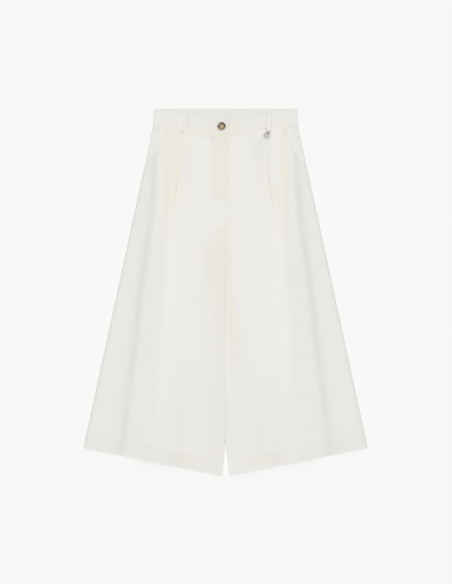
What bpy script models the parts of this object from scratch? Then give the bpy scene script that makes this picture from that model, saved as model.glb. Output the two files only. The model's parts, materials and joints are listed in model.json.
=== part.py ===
"""Wide-leg culottes laid flat: pleated fronts, slant pockets, fly, waistband with belt loops.

The garment lies on its back on the surface z = 0, the waist towards +Y, the front up and the
wearer's left leg at +X.  Units are metres.  Every cloth piece is a grid that follows the
middle of its wall, and Solidify gives it the wall.  Panels are worked out for the +X leg,
with `out` the distance from the centre line, and the -X leg is the same with x turned round.
"""

import math
from bisect import bisect_right
from collections import namedtuple
from functools import lru_cache

import bmesh
import bpy
from mathutils import Matrix, Vector

# ---- driving sizes -------------------------------------------------------------------------
CLOTH = 0.0010  # wall of one layer of cloth
BAND = 0.0014  # wall of the waistband, cloth over interfacing
GAP = 0.0003  # between pieces that are sewn or rest together
HAIR = 0.0001  # allowed on top of GAP where pieces curve beside each other
FRONT_SEAM = 0.9 * GAP  # the fronts stop this far below the waist seam
BAND_SEAM = 0.7 * GAP  # and the front waistbands start this far above it
PLY = CLOTH + 0.0004  # from the middle of one layer to the middle of the next

TOP_Y = 0.4292  # top edge of the back waistband
HEM_INNER_Y = -0.4292  # the inner hem corner, the lowest point
HEM_OUTER_Y = -0.3637  # the outer hem corner
HEM_INNER_OUT = 0.0082
WAIST_OUT = 0.1668  # half the flat waist, at the top edge
WAIST_SEAM_OUT = 0.1696  # half the flat width at the waist seam
WAIST_SEAM_Y = 0.3900  # the waist seam at the side seam
FLARE = 0.2170  # the side seam runs out this much for each metre down
FLARE_START = 0.0040  # length over which the side seam turns into its flare
LEG_GAP_Y = -0.3480  # the legs lie against each other down to here
CROTCH_Y = 0.1100
CROTCH_REACH = 0.0700  # length over which the inner edge turns from a flat seam to a roll
INSET_START = 0.0500  # from this far above the crotch the front steps in by half its wall
INSET_LENGTH = 0.0300

ROLL_OUT = 0.0060  # how far in from the side edge the front starts to roll down
ROLL_IN = 0.0050
HEM_DEPTH = 0.0380  # turned-up hem allowance
HEM_FOLD = PLY / 2  # radius of the hem's fold
HEM_LIFT_FADE = 0.0120  # above the turn-up the front's rolled edges drop over this length
HEM_STEP = 0.0050  # share of the leg between the rows that give the allowance its slope
BACK_RISE = 0.0014  # the back lifts this much at the waist, onto its belt loops
BACK_RISE_START = 0.3300

FLY_LAP = 0.0045  # the right front reaches this far over the centre line
FLY_END_Y = 0.2220  # the flap starts to widen here
FLY_STEP_Y = 0.1760  # the flap starts to step up here
FLY_LIFT = PLY
FLY_LIFT_OUT = (0.0130, 0.0230)  # the step down from the flap to the leg
FLY_TURN = 0.0200  # length over which the flap widens, and over which it steps up
FACING_OUT = (0.0006, 0.0290)  # the fly facing, from the edge to its curved stitching
FACING_END_Y = 0.2080
FACING_CURVE = 0.0320  # its outer edge ends this much higher
FACING_SHORT = 0.0020  # below the waist seam
SHIELD_OUT = (-0.0330, 0.0100)  # the fly shield, across the centre line
SHIELD_Y = (0.3560, 0.1980)
ZIP_OUT = (-0.0160, 0.0080)
ZIP_WALL = 0.0010
ZIP_Y = (0.3550, 0.2200)
SLIDER_SIZE = (0.0062, 0.0080, 0.0012)
SLIDER_CENTRE = (-0.0050, 0.3440)
SLIDER_EDGE = 0.0003

MOUTH_TOP_OUT = 0.1400  # the pocket mouth at the waist seam
MOUTH_END_Y = 0.2770  # where the mouth meets the side seam
BAG_BESIDE_PLEAT = 0.0105  # the pocket starts this far outside the pleat's fold
BAG_WAIST_CLEAR = 0.0085  # and this much farther at the waist
POCKET_SETTLE = 0.0500  # length over which its layers draw together to the waist
BAG_END_Y = 0.1850
BAG_CORNER = 0.0300  # its corners end this much higher
BAG_FOOT_Y = 0.1950  # where its width is taken for them
BAG_INSET = 0.0110  # the pocket stops this far from the side edge, below its mouth
BAG_INSET_START = 0.0400  # above the mouth's end, where it starts to draw in
BAG_INSET_LENGTH = 0.0300
BAG_EDGE = (0.0020, 0.0040)  # the bag's last columns, beside the mouth
BAG_OPENS = (0.0020, 0.0250)  # below the mouth's end they run out to the pocket's edge
BAG_WAIST_SHORT = 0.0040  # the bag's own layer stops this far below the waist seam
YOKE_STEP = 0.0120  # outside the mouth the yoke rises to the front's level over this
YOKE_RISE = 0.0100  # and inside it, it leaves the bag over this
YOKE_LEVEL = 0.0006  # outside the mouth it lies this far below the front's level
LINING_PLY = 0.0017  # from layer to layer inside the pocket, below the waist

BAND_UNDERLAP = 0.0320  # the left waistband runs on under the right one
BAND_LAP = (0.0035, 0.0070)  # the right one reaches this far over, at its foot and its top
BAND_Z = 0.0056
BAND_LIFT = BAND + 0.00045
BAND_STEP_OUT = (0.0380, 0.0520)
BAND_ROLL = 0.0055
LAP_TAPER = 1.6  # the lap has its full width from 1 / this share of the band's height
BACK_BAND_Z = 0.0021
LOOP_WIDTH = 0.0112
LOOP_WALL = 0.0010
LOOP_ARCH = 0.0012  # a loop stands this much clear of the band between its ends
LOOP_OVER = 0.0004  # a front loop's top, above the band's edge
LOOP_SHORT = 0.0006  # a back loop's top, below the band's edge
LOOP_STEP = 0.0040  # above the seam a front loop rises to the leg's height over this

BUTTON_AT = (-0.0094, 0.3875)
BUTTON_RADIUS = 0.0092
BUTTON_HOLE_RADIUS = 0.0009
BUTTON_HOLE_SPREAD = 0.0018
BUTTON_CLEAR = 0.0009  # below the button, over the waistband
THREAD_RADIUS = 0.0005
THREAD_RISE = 0.0010  # the stitches stand this much above the button's dish
SHANK_RADIUS = 0.0010
SHANK_STEP = 0.0003  # height of the shank's head, and of its taper
BUTTON_DISH = 0.0016  # height of the button's sunk middle
# The button's section from top to bottom: (share of its radius, height).
BUTTON_PROFILE = (
    (0, BUTTON_DISH), (0.60, 0.0017), (0.72, 0.0023), (0.86, 0.0026), (0.97, 0.0021),
    (1, 0.0014), (0.93, 0.0006), (0.70, 0), (0, 0),
)
SLIT_OUT = (0.0005, 0.0205)  # the buttonhole, across the right waistband

# ---- short tables ---------------------------------------------------------------------------
# The front across the leg, at heights down the garment: the crest of its long fold, the
# groove outside it, and the height of the cloth's middle at the crest, groove, centre and side.
Station = namedtuple("Station", "y crest crest_z groove groove_z centre_z side_z")
STATIONS = (
    Station(0.3900, 0.1160, 0.0060, 0.1290, 0.0060, 0.0060, 0.0060),
    Station(0.3500, 0.1260, 0.0072, 0.1500, 0.0060, 0.0062, 0.0060),
    Station(0.3100, 0.1310, 0.0088, 0.1650, 0.0057, 0.0066, 0.0062),
    Station(0.2500, 0.1350, 0.0106, 0.1680, 0.0055, 0.0072, 0.0068),
    Station(0.1860, 0.1370, 0.0120, 0.1730, 0.0054, 0.0078, 0.0074),
    Station(0.1000, 0.1400, 0.0130, 0.1850, 0.0053, 0.0084, 0.0078),
    Station(-0.0200, 0.1470, 0.0138, 0.2015, 0.0052, 0.0088, 0.0080),
    Station(-0.1300, 0.1550, 0.0140, 0.2130, 0.0052, 0.0088, 0.0080),
    Station(-0.2500, 0.1630, 0.0138, 0.2285, 0.0051, 0.0086, 0.0078),
    Station(-0.3400, 0.1690, 0.0134, 0.2380, 0.0051, 0.0084, 0.0076),
    Station(-0.4300, 0.1750, 0.0130, 0.2480, 0.0051, 0.0082, 0.0074),
)
GROOVE_DEPTH = 0.0026  # the groove's own dip, below the broad fall from the crest
GROOVE_HALF = 0.0095
GROOVE_START = (0.3600, 0.0600)  # it deepens from this height, over this length
GROOVE_TO_MOUTH = 0.0100  # least distance of the groove from the pocket mouth
GROOVE_TO_CREST = 0.0110
CREST_HALF = 0.0140  # half width of the rounding over the crest

# The waist seam and the front top edge, at distances out from the centre.
WaistPoint = namedtuple("WaistPoint", "out seam_right seam_left top_right top_left")
WAIST_LINE = (
    WaistPoint(-0.035, 0.3628, 0.3648, 0.4062, 0.4056),
    WaistPoint(0.000, 0.3626, 0.3634, 0.4064, 0.4058),
    WaistPoint(0.035, 0.3628, 0.3668, 0.4070, 0.4085),
    WaistPoint(0.070, 0.3645, 0.3760, 0.4100, 0.4130),
    WaistPoint(0.105, 0.3765, 0.3858, 0.4180, 0.4192),
    WaistPoint(0.140, 0.3860, 0.3895, 0.4250, 0.4252),
    WaistPoint(0.175, 0.3890, 0.3895, 0.4290, 0.4290),
)

# The pleat: its fold line on each leg, the turn of its cloth in degrees, the length folded under
# it and the length over which the cloth beside it rises again.
PleatPoint = namedtuple("PleatPoint", "y out_right out_left turn depth rise")
PLEAT = (
    PleatPoint(0.3900, 0.0955, 0.0930, 180, 0.0140, 0.0080),
    PleatPoint(0.3500, 0.0985, 0.0945, 180, 0.0130, 0.0110),
    PleatPoint(0.3200, 0.1035, 0.0965, 180, 0.0120, 0.0150),
    PleatPoint(0.2720, 0.1085, 0.0990, 176, 0.0090, 0.0180),
    PleatPoint(0.2450, 0.1125, 0.1020, 150, 0.0060, 0.0200),
    PleatPoint(0.2220, 0.1160, 0.1050, 100, 0.0040, 0.0200),
    PleatPoint(0.2000, 0.1185, 0.1085, 50, 0.0040, 0.0200),
    PleatPoint(0.1750, 0.1200, 0.1110, 20, 0.0060, 0.0200),
    PleatPoint(0.1200, 0.1215, 0.1130, 8, 0.0080, 0.0250),
    PleatPoint(-0.4300, 0.1250, 0.1190, 4, 0.0100, 0.0300),
)
PLEAT_RADIUS = 0.0007  # of the middle of the cloth where it folds
PLEAT_LEAD = 0.0060  # cloth lies flat this far beside the fold
PLEAT_LEAST_TURN = 2  # degrees

# Soft single folds laid over the broad shape: where each starts and ends, out from the centre.
Fold = namedtuple("Fold", "side start_out start_y end_out end_y half_width rise")
FOLDS = (
    Fold(-1, 0.030, 0.150, 0.034, -0.080, 0.016, -0.0016),
    Fold(1, 0.008, 0.060, 0.034, -0.110, 0.010, -0.0020),
    Fold(1, 0.034, -0.110, 0.082, -0.330, 0.011, -0.0020),
    Fold(-1, 0.092, -0.240, 0.114, -0.420, 0.016, -0.0018),
    Fold(1, 0.100, -0.240, 0.118, -0.420, 0.016, -0.0018),
    Fold(1, 0.080, 0.345, 0.086, 0.270, 0.014, -0.0010),
)
FOLD_FADE = 0.0600  # length over which a fold dies out at each end

# Belt loops: which side, distance out at the top and at the foot, how far the foot reaches
# below the waist seam, and whether it is in front.
Loop = namedtuple("Loop", "name side top_out foot_out below front")
LOOPS = (
    Loop("belt_loop_front_right", -1, 0.0885, 0.0965, 0.0020, True),
    Loop("belt_loop_front_left", 1, 0.1015, 0.1005, 0.0080, True),
    Loop("belt_loop_back_right", -1, 0.1040, 0.1060, 0.0045, False),
    Loop("belt_loop_back_left", 1, 0.1040, 0.1060, 0.0045, False),
    Loop("belt_loop_back_centre", 1, 0.0000, 0.0000, 0.0045, False),
)
# Rows down a panel and columns across it, as shares of each stretch.
PANEL_ROWS = (0, 0.02, 0.05, 0.085, 0.115, 0.145, 0.17, 0.2, 0.235, 0.275, 0.32, 0.375,
              0.44, 0.51, 0.58, 0.66, 0.74, 0.82, 0.895, 0.934, 0.949, 0.975, 1)
ROLL_COLUMNS = (0, 0.5, 1)
CENTRE_COLUMNS = (0, 0.12, 0.3, 0.5, 0.7, 0.86, 1)
HIP_COLUMNS = (0.5, 1)
FALL_COLUMNS = (0.35, 0.7, 0.87, 1)
OUTER_COLUMNS = (0.12, 0.28, 0.6, 1)
EDGE_COLUMNS = (0.34, 0.67, 1)
EDGE_START = 0.97  # they start by this share of the cloth outside the groove
BACK_ROWS = (0, 0.04, 0.08, 0.25, 0.45, 0.7, 0.93, 1)
BACK_COLUMNS = (0, 0.1, 0.3, 0.5, 0.7, 0.9, 1)
YOKE_ROWS = (0, 0.05, 0.12, 0.22, 0.32, 0.4, 0.46, 0.52, 0.6, 0.7, 0.8, 0.9, 1)
YOKE_COLUMNS = (0, 0.25, 0.5, 0.75, 1)
YOKE_MOUTH = ((-0.016, 0.026), (-0.003, 0.020), (0.008, 0.013))  # from the mouth, or the edge
YOKE_ROLL = (1.2, 0.7, 0.3, 0)
POCKET_REACH = (-0.005, -0.0025, 0, 0.0025, 0.005)
BAND_COLUMNS = (0.065, 0.078, 0.090, 0.102, 0.114, 0.127, 0.141, 0.155)
BAND_STARTS_LEFT = (-BAND_UNDERLAP, -0.012, 0.008, 0.030, 0.052)
BAND_STARTS_RIGHT = (*SLIT_OUT, 0.030, 0.038, 0.045, 0.052)
BAND_ROWS = (0, 0.3, 0.5370, 0.5965, 0.8, 1)
LOOP_ROWS = (0, 0.04, 0.1, 0.25, 0.45, 0.65, 0.82, 0.92, 1)
FACING_ROWS = (0, 0.15, 0.35, 0.55, 0.75, 0.88, 0.96, 1)
FACING_COLUMNS = (0, 0.3, 0.55, 0.8, 1)
STRIP_ROWS = (0, 0.1, 0.25, 0.5, 1)

# The charm hangs by a stitched thread from the foot of the left front belt loop.
CHARM_AT = (0.1008, 0.3735)  # the middle of its eye
CHARM_TURN = 37  # degrees it hangs away from straight down
CHARM_CLEAR = 0.0003
CHARM_WALL = 0.0012
DROP_RADIUS = 0.0059  # of its round lower end
DROP_LENGTH = 0.0104  # from its eye to the middle of the round end
EYE_RADIUS = 0.0018
EYE_HOLE = 0.0009
CHARM_EDGE = 0.0004  # its rounded edges
TIE_RADIUS = 0.00035
TIE_ARCH = 0.0013  # radius of the thread's arch

# Colour, roughness and metallic value of each kind of surface.
SURFACES = {
    "ivory_cloth": ((0.84, 0.82, 0.76), 0.85, 0.0),
    "lining_cloth": ((0.80, 0.78, 0.70), 0.9, 0.0),
    "horn": ((0.16, 0.10, 0.05), 0.3, 0.0),
    "thread": ((0.82, 0.80, 0.72), 0.8, 0.0),
    "zip": ((0.80, 0.78, 0.72), 0.6, 0.0),
    "silver": ((0.55, 0.54, 0.52), 0.25, 1.0),
}


# ---- small mathematics ------------------------------------------------------------------------
def ease(t):
    """0 before 0, 1 after 1, and a smooth step between."""
    t = min(1.0, max(0.0, t))
    return t * t * (3 - 2 * t)


def mix(a, b, t):
    return a + (b - a) * t


@lru_cache(maxsize=None)
def column_of(table, key, column):
    """A table's key column and another one, both in rising order of the key."""
    rows = sorted(table, key=lambda row: getattr(row, key))
    return [getattr(row, key) for row in rows], [getattr(row, column) for row in rows]


def read(table, key, value, column):
    """The column of a table where its key column has this value, smooth between the rows."""
    keys, values = column_of(table, key, column)
    value = min(keys[-1], max(keys[0], value))
    last = len(keys) - 1
    i = min(last - 1, max(0, bisect_right(keys, value) - 1))

    def slope(k):
        before, after = max(k - 1, 0), min(k + 1, last)
        return (values[after] - values[before]) / (keys[after] - keys[before])

    span = keys[i + 1] - keys[i]
    t = (value - keys[i]) / span
    return (
        (2 * t**3 - 3 * t**2 + 1) * values[i]
        + (t**3 - 2 * t**2 + t) * span * slope(i)
        + (3 * t**2 - 2 * t**3) * values[i + 1]
        + (t**3 - t**2) * span * slope(i + 1)
    )


# ---- outlines -----------------------------------------------------------------------------------
def side_out(y):
    """The side edge, out from the centre line."""
    drop = WAIST_SEAM_Y - y
    if drop < 0:
        return mix(WAIST_SEAM_OUT, WAIST_OUT, -drop / (TOP_Y - WAIST_SEAM_Y))
    return WAIST_SEAM_OUT + FLARE * (drop - FLARE_START * (1 - math.exp(-drop / FLARE_START)))


def rolled(y):
    """0 where the inner edge is the flat centre seam, 1 where it is the leg's rolled edge."""
    return ease((CROTCH_Y - y) / CROTCH_REACH)


def inner_out(side, y, front):
    """The inner edge of a panel's wall middle, out from the centre line."""
    out = GAP / 2
    out += (HEM_INNER_OUT - GAP) * max(0, (LEG_GAP_Y - y) / (LEG_GAP_Y - HEM_INNER_Y))
    if front:
        out += (CLOTH / 2 + HAIR) * ease((CROTCH_Y + INSET_START - y) / INSET_LENGTH)
    if front and side < 0:
        out -= (FLY_LAP + GAP / 2) * ease((y - FLY_END_Y) / FLY_TURN)
    return out


def hem_y(out):
    share = (out - HEM_INNER_OUT) / (side_out(HEM_OUTER_Y) - HEM_INNER_OUT)
    return mix(HEM_INNER_Y, HEM_OUTER_Y, share)


def waist_y(side, out, edge):
    """The waist seam (edge "seam") or the top edge (edge "top") of the front."""
    return read(WAIST_LINE, "out", out, f"{edge}_{'left' if side > 0 else 'right'}")


def mouth_out(y):
    """The pocket mouth, a line from the waist seam to the side seam."""
    share = (WAIST_SEAM_Y - y) / (WAIST_SEAM_Y - MOUTH_END_Y)
    return mix(MOUTH_TOP_OUT, side_out(MOUTH_END_Y), share)


# ---- heights ------------------------------------------------------------------------------------
def back_z(y):
    return CLOTH / 2 + BACK_RISE * ease((y - BACK_RISE_START) / (WAIST_SEAM_Y - BACK_RISE_START))


def rim_z(out, y):
    """Where the rolled edge of the front ends, just above the back and its turned-up hem."""
    hem_top = hem_y(out) + HEM_DEPTH + HEM_LIFT_FADE
    lift = (PLY + HAIR) * ease((hem_top - y) / (HEM_LIFT_FADE / 2))
    return back_z(y) + CLOTH / 2 + GAP + HAIR / 2 + lift


def fold_rise(side, out, y):
    """The soft single folds at one place."""
    rise = 0.0
    for fold in FOLDS:
        if fold.side != side:
            continue
        start = Vector((fold.start_out, fold.start_y))
        run = Vector((fold.end_out, fold.end_y)) - start
        along = (Vector((out, y)) - start).dot(run.normalized())
        away = (Vector((out, y)) - start - run.normalized() * along).length
        ends = ease(along / FOLD_FADE) * ease((run.length - along) / FOLD_FADE + 0.5)
        rise += fold.rise * ends * math.exp(-((away / fold.half_width) ** 2))
    return rise


def crest_and_groove(y):
    groove = read(STATIONS, "y", y, "groove")
    if y > MOUTH_END_Y:
        groove = min(groove, mouth_out(y) - GROOVE_TO_MOUTH)
    return min(read(STATIONS, "y", y, "crest"), groove - GROOVE_TO_CREST), groove


def smooth_height(side, out, y):
    """The middle of the front's wall above the surface, without pleat, flap or rolled edges."""
    crest, groove = crest_and_groove(y)
    crest_z, groove_z, centre_z, side_z = (
        read(STATIONS, "y", y, name) for name in ("crest_z", "groove_z", "centre_z", "side_z")
    )
    deep_y, deepens = GROOVE_START
    foot_z = groove_z + GROOVE_DEPTH * ease((deep_y - y) / deepens)
    up = mix(centre_z, crest_z, ease(out / crest) ** 1.5)
    down = mix(crest_z, foot_z, min(1, max(0, (out - crest) / (groove - crest))))
    height = mix(up, down, ease((out - crest) / (2 * CREST_HALF) + 0.5))
    if out > groove:
        reach = side_out(y) - ROLL_OUT - groove
        height = mix(foot_z, side_z, ease((out - groove) / max(reach, 0.001)))
    dip = (foot_z - groove_z) * math.exp(-(((out - groove) / GROOVE_HALF) ** 2))
    return height - dip + fold_rise(side, out, y)


def flap_lift(side, out, y):
    """The flap of the right front steps up over the left front."""
    if side > 0:
        return 0.0
    start, end = FLY_LIFT_OUT
    return FLY_LIFT * ease((end - out) / (end - start)) * ease((y - FLY_STEP_Y) / FLY_TURN)


def fold_line(side, y):
    """The pleat's fold line, out from the centre."""
    return read(PLEAT, "y", y, "out_left" if side > 0 else "out_right")


@lru_cache(maxsize=None)
def pleat_points(y):
    """The pleat across at y: (out, down) from its fold line, an S that opens towards its end."""
    turn = math.radians(min(180, max(PLEAT_LEAST_TURN, read(PLEAT, "y", y, "turn"))))
    depth = read(PLEAT, "y", y, "depth")
    radius = PLEAT_RADIUS * math.pi / turn
    first = -radius * math.sin(min(turn, math.pi / 2))
    points = [(first - PLEAT_LEAD, 0.0), (first, 0.0)]
    for angle in (turn / 2, turn):
        points.append((first + radius * math.sin(angle), radius * (1 - math.cos(angle))))
    out, down = points[-1]
    points.append((out + depth * math.cos(turn), down + depth * math.sin(turn)))
    centre_out = points[-1][0] + radius * math.sin(turn)
    centre_down = points[-1][1] - radius * math.cos(turn)
    for angle in (turn / 2, 0):
        points.append((centre_out - radius * math.sin(angle),
                       centre_down + radius * math.cos(angle)))
    points.append((max(points[-1][0], 0) + PLEAT_LEAD, points[-1][1]))
    return tuple(points)


def front_height(side, out, y):
    """The middle of the front's wall, with the flap's step and the drop outside the pleat."""
    height = smooth_height(side, out, y) + flap_lift(side, out, y)
    end_out, drop = pleat_points(y)[-1]
    end_out += fold_line(side, y)
    if out > end_out - 1e-6:
        height -= drop * (1 - ease((out - end_out) / read(PLEAT, "y", y, "rise")))
    return height


# ---- sections of the front ------------------------------------------------------------------------
@lru_cache(maxsize=None)
def front_section(side, y):
    """The middle of the front's wall across the leg at y, as (out, z) from centre to side."""
    inner = inner_out(side, y, True)
    crest, groove = crest_and_groove(y)
    fold_out = fold_line(side, y)

    def height(out):
        return front_height(side, out, y)

    points = []
    inner_top = height(inner + ROLL_IN)
    for share in ROLL_COLUMNS:
        angle = share * math.pi / 2
        out = inner + ROLL_IN * (1 - math.cos(angle))
        roll = mix(rim_z(inner, y), inner_top, math.sin(angle))
        points.append((out, mix(height(out), roll, rolled(y))))

    start = inner + ROLL_IN
    pleat = pleat_points(y)
    end = fold_out + pleat[0][0]
    points += [(mix(start, end, t), height(mix(start, end, t))) for t in CENTRE_COLUMNS[1:-1]]
    points += [(fold_out + out, smooth_height(side, fold_out + out, y) - down)
               for out, down in pleat]
    start = fold_out + pleat[-1][0]
    points += [(mix(start, crest, t), height(mix(start, crest, t))) for t in HIP_COLUMNS]
    points += [(mix(crest, groove, t), height(mix(crest, groove, t))) for t in FALL_COLUMNS]

    edge = side_out(y) - CLOTH / 2
    flat_length = edge - ROLL_OUT - groove
    side_top = height(edge - ROLL_OUT)
    arc_length = math.pi / 2 * math.hypot(ROLL_OUT, side_top - rim_z(edge, y)) / math.sqrt(2)
    cut = 0.0
    if y > MOUTH_END_Y:
        short = side_out(y) - mouth_out(y)
        cut = arc_length * min(1, short / ROLL_OUT) + max(0, short - ROLL_OUT)
    limit = flat_length + arc_length - cut
    flat_end = min(flat_length, EDGE_START * limit)
    lengths = [t * flat_end for t in OUTER_COLUMNS]
    lengths += [mix(flat_end, limit, t) for t in EDGE_COLUMNS]
    for length in lengths:
        if length <= flat_length:
            points.append((groove + length, height(groove + length)))
        else:
            angle = (length - flat_length) / arc_length * math.pi / 2
            points.append((
                edge - ROLL_OUT * (1 - math.sin(angle)),
                mix(rim_z(edge, y), side_top, math.cos(angle)),
            ))
    return tuple(points)


@lru_cache(maxsize=None)
def front_ends(side, column):
    """Where a column of the front starts, at the waist seam, and ends, at the hem's fold."""
    top, foot = WAIST_SEAM_Y, HEM_OUTER_Y
    for _ in range(3):
        top = waist_y(side, front_section(side, top)[column][0], "seam") - FRONT_SEAM
        foot = hem_y(front_section(side, foot)[column][0]) + HEM_FOLD + CLOTH / 2
    return top, foot


def front_point(side, column, share):
    """A point of the front: its column across and its share of the way from waist to hem."""
    y = mix(*front_ends(side, column), share)
    out, z = front_section(side, y)[column]
    return Vector((out, y, z))


# ---- building -------------------------------------------------------------------------------------
def clear_scene():
    for obj in list(bpy.data.objects):
        bpy.data.objects.remove(obj)


def material(name, surface):
    made = bpy.data.materials.new(name)
    made.use_nodes = True
    colour, roughness, metallic = SURFACES[surface]
    shader = made.node_tree.nodes["Principled BSDF"]
    shader.inputs["Base Color"].default_value = (*colour, 1)
    shader.inputs["Roughness"].default_value = roughness
    shader.inputs["Metallic"].default_value = metallic
    made.diffuse_color = (*colour, 1)
    return made


def collection(name):
    made = bpy.data.collections.new(name)
    bpy.context.scene.collection.children.link(made)
    return made


def place(name, shape, surface, where, at=(0, 0, 0)):
    """A named object of a mesh or a curve, with a material of its own."""
    made = bpy.data.objects.new(name, shape)
    shape.materials.append(material(name, surface))
    made.location = at
    where.objects.link(made)
    return made


def finished(name, work):
    """The mesh of what was worked on."""
    mesh = bpy.data.meshes.new(name)
    work.to_mesh(mesh)
    work.free()
    return mesh


def block(name, size):
    work = bmesh.new()
    bmesh.ops.create_cube(work, size=1, matrix=Matrix.Diagonal((*size, 1)))
    return finished(name, work)


def rod(name, radius, length, sides):
    work = bmesh.new()
    bmesh.ops.create_cone(work, cap_ends=True, segments=sides, radius1=radius, radius2=radius,
                          depth=length)
    return finished(name, work)


def grid_mesh(name, rows, side=1):
    """A grid of points as a mesh that faces up; side -1 turns it to the other leg."""
    down, across = len(rows), len(rows[0])
    work = bmesh.new()
    bmesh.ops.create_grid(work, x_segments=across - 1, y_segments=down - 1, size=1)
    work.verts.ensure_lookup_table()
    order = sorted(work.verts, key=lambda v: (-round(v.co.y, 4), round(v.co.x, 4)))
    for vert, point in zip(order, (point for row in rows for point in row)):
        vert.co = Vector((point[0] * side, point[1], point[2]))
    if side < 0:
        bmesh.ops.reverse_faces(work, faces=work.faces)
    mesh = finished(name, work)
    mesh.shade_smooth()
    return mesh


def cloth_piece(name, rows, surface, where, side=1, wall=CLOTH):
    """A sheet of cloth whose wall's middle follows the grid."""
    made = place(name, grid_mesh(name, rows, side), surface, where)
    solid = made.modifiers.new("wall", "SOLIDIFY")
    solid.thickness = wall
    solid.offset = 0
    solid.use_even_offset = True
    solid.thickness_clamp = 0
    return made


def normals_of(rows):
    """The upward normal at each point of a grid of points."""
    found = []
    for i, row in enumerate(rows):
        line = []
        for j in range(len(row)):
            down = rows[min(i + 1, len(rows) - 1)][j] - rows[max(i - 1, 0)][j]
            across = row[min(j + 1, len(row) - 1)] - row[max(j - 1, 0)]
            line.append(down.cross(across).normalized())
        found.append(line)
    return found


def with_hem(rows, allowance, inward):
    """Adds the hem's fold and its turned-in allowance to a panel's rows."""
    last, edge_normals = rows[-1], normals_of(rows)[-1]
    added = []
    for angle in (45, 90, 135):
        turn = math.radians(angle)
        line = []
        for j, point in enumerate(last):
            along = (point - rows[-2][j]).normalized()
            moved = point + along * HEM_FOLD * math.sin(turn)
            line.append(moved + edge_normals[j] * inward * HEM_FOLD * (1 - math.cos(turn)))
        added.append(line)
    for row, line_normals in allowance:
        line = [point + normal * inward * 2 * HEM_FOLD for point, normal in zip(row, line_normals)]
        for j in (0, -1):
            line[j].z = max(line[j].z, row[j].z)
        added.append(line)
    return rows + added


def front_panel(side, where):
    count = len(front_section(side, 0.0))
    rows = [[front_point(side, j, share) for j in range(count)] for share in PANEL_ROWS]
    length = rows[0][0].y - rows[-1][0].y
    inner_rows = []
    for depth in (0, HEM_DEPTH / 2, HEM_DEPTH):
        share = 1 - depth / length
        pair = [
            [front_point(side, j, s) for j in range(count)] for s in (share - HEM_STEP, share)
        ]
        inner_rows.append((pair[1], normals_of(pair)[1]))
    name = "front_left" if side > 0 else "front_right"
    cloth_piece(name, with_hem(rows, inner_rows, -1), "ivory_cloth", where, side)


def back_point(across, share):
    out_at_hem = mix(HEM_INNER_OUT, side_out(HEM_OUTER_Y), across)
    y = mix(WAIST_SEAM_Y - GAP / 2, hem_y(out_at_hem) + HEM_FOLD + CLOTH / 2, share)
    return Vector((mix(inner_out(1, y, False), side_out(y), across), y, back_z(y)))


def back_panel(side, where):
    rows = [[back_point(t, share) for t in BACK_COLUMNS] for share in BACK_ROWS]
    length = rows[0][0].y - rows[-1][0].y
    up = [Vector((0, 0, 1))] * len(BACK_COLUMNS)
    inner_rows = [
        ([back_point(t, 1 - depth / length) for t in BACK_COLUMNS], up)
        for depth in (0, HEM_DEPTH)
    ]
    name = "back_left" if side > 0 else "back_right"
    cloth_piece(name, with_hem(rows, inner_rows, 1), "ivory_cloth", where, side)


# ---- pockets ----------------------------------------------------------------------------------------
def lining_ply(y):
    """From layer to layer inside the pocket: closer at the waist, where they are sewn."""
    return mix(LINING_PLY, PLY, ease((y - BACK_RISE_START) / POCKET_SETTLE))


def room_under(side, out, y):
    """The front's height where the pocket runs below it: the least of its heights nearby."""
    near = [front_height(side, out + d, y) for d in POCKET_REACH if out + d < side_out(y)]
    return min(near)


def yoke_under(side, out, y):
    """The yoke's height below the bag, kept above the back."""
    low = room_under(side, out, y) - 2 * lining_ply(y)
    return max(low, back_z(y) + CLOTH + GAP + HAIR)


def pocket_inner(side, y):
    clear = BAG_WAIST_CLEAR * ease((y - BACK_RISE_START) / POCKET_SETTLE)
    return fold_line(side, y) + BAG_BESIDE_PLEAT + clear


def pocket_bottom(across):
    return BAG_END_Y + BAG_CORNER * abs(2 * across - 1) ** 4


def pocket_y(side, outs_at, column, share):
    """How far down the garment a point of the pocket is, from the waist seam to its foot."""
    top = WAIST_SEAM_Y
    for _ in range(3):
        top = waist_y(side, outs_at(side, top)[column], "seam") - GAP / 2
    foot = outs_at(side, BAG_FOOT_Y)
    return mix(top, pocket_bottom((foot[column] - foot[0]) / (foot[-1] - foot[0])), share)


def yoke_outs(side, y):
    """Columns of the hip yoke: up to the mouth, across it, and round the side edge."""
    edge = side_out(y) - CLOTH / 2
    edge -= BAG_INSET * ease((MOUTH_END_Y + BAG_INSET_START - y) / BAG_INSET_LENGTH)
    mouth = mouth_out(y)
    limits = [min(mouth + d, edge - room) for d, room in YOKE_MOUTH]
    inner = pocket_inner(side, y)
    return (
        [mix(inner, limits[0], t) for t in YOKE_COLUMNS]
        + limits[1:]
        + [edge - ROLL_OUT * d for d in YOKE_ROLL]
    )


def bag_outs(side, y):
    """Columns of the bag's own layer: with the yoke's, but it stops inside the mouth."""
    outs = yoke_outs(side, y)
    count = len(YOKE_COLUMNS)
    drop, length = BAG_OPENS
    below = ease((MOUTH_END_Y - drop - y) / length)
    near, far = BAG_EDGE
    return outs[:count] + [
        mix(outs[count - 1] + near, outs[count + 1], below),
        mix(outs[count - 1] + far, outs[-1], below),
    ]


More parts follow.
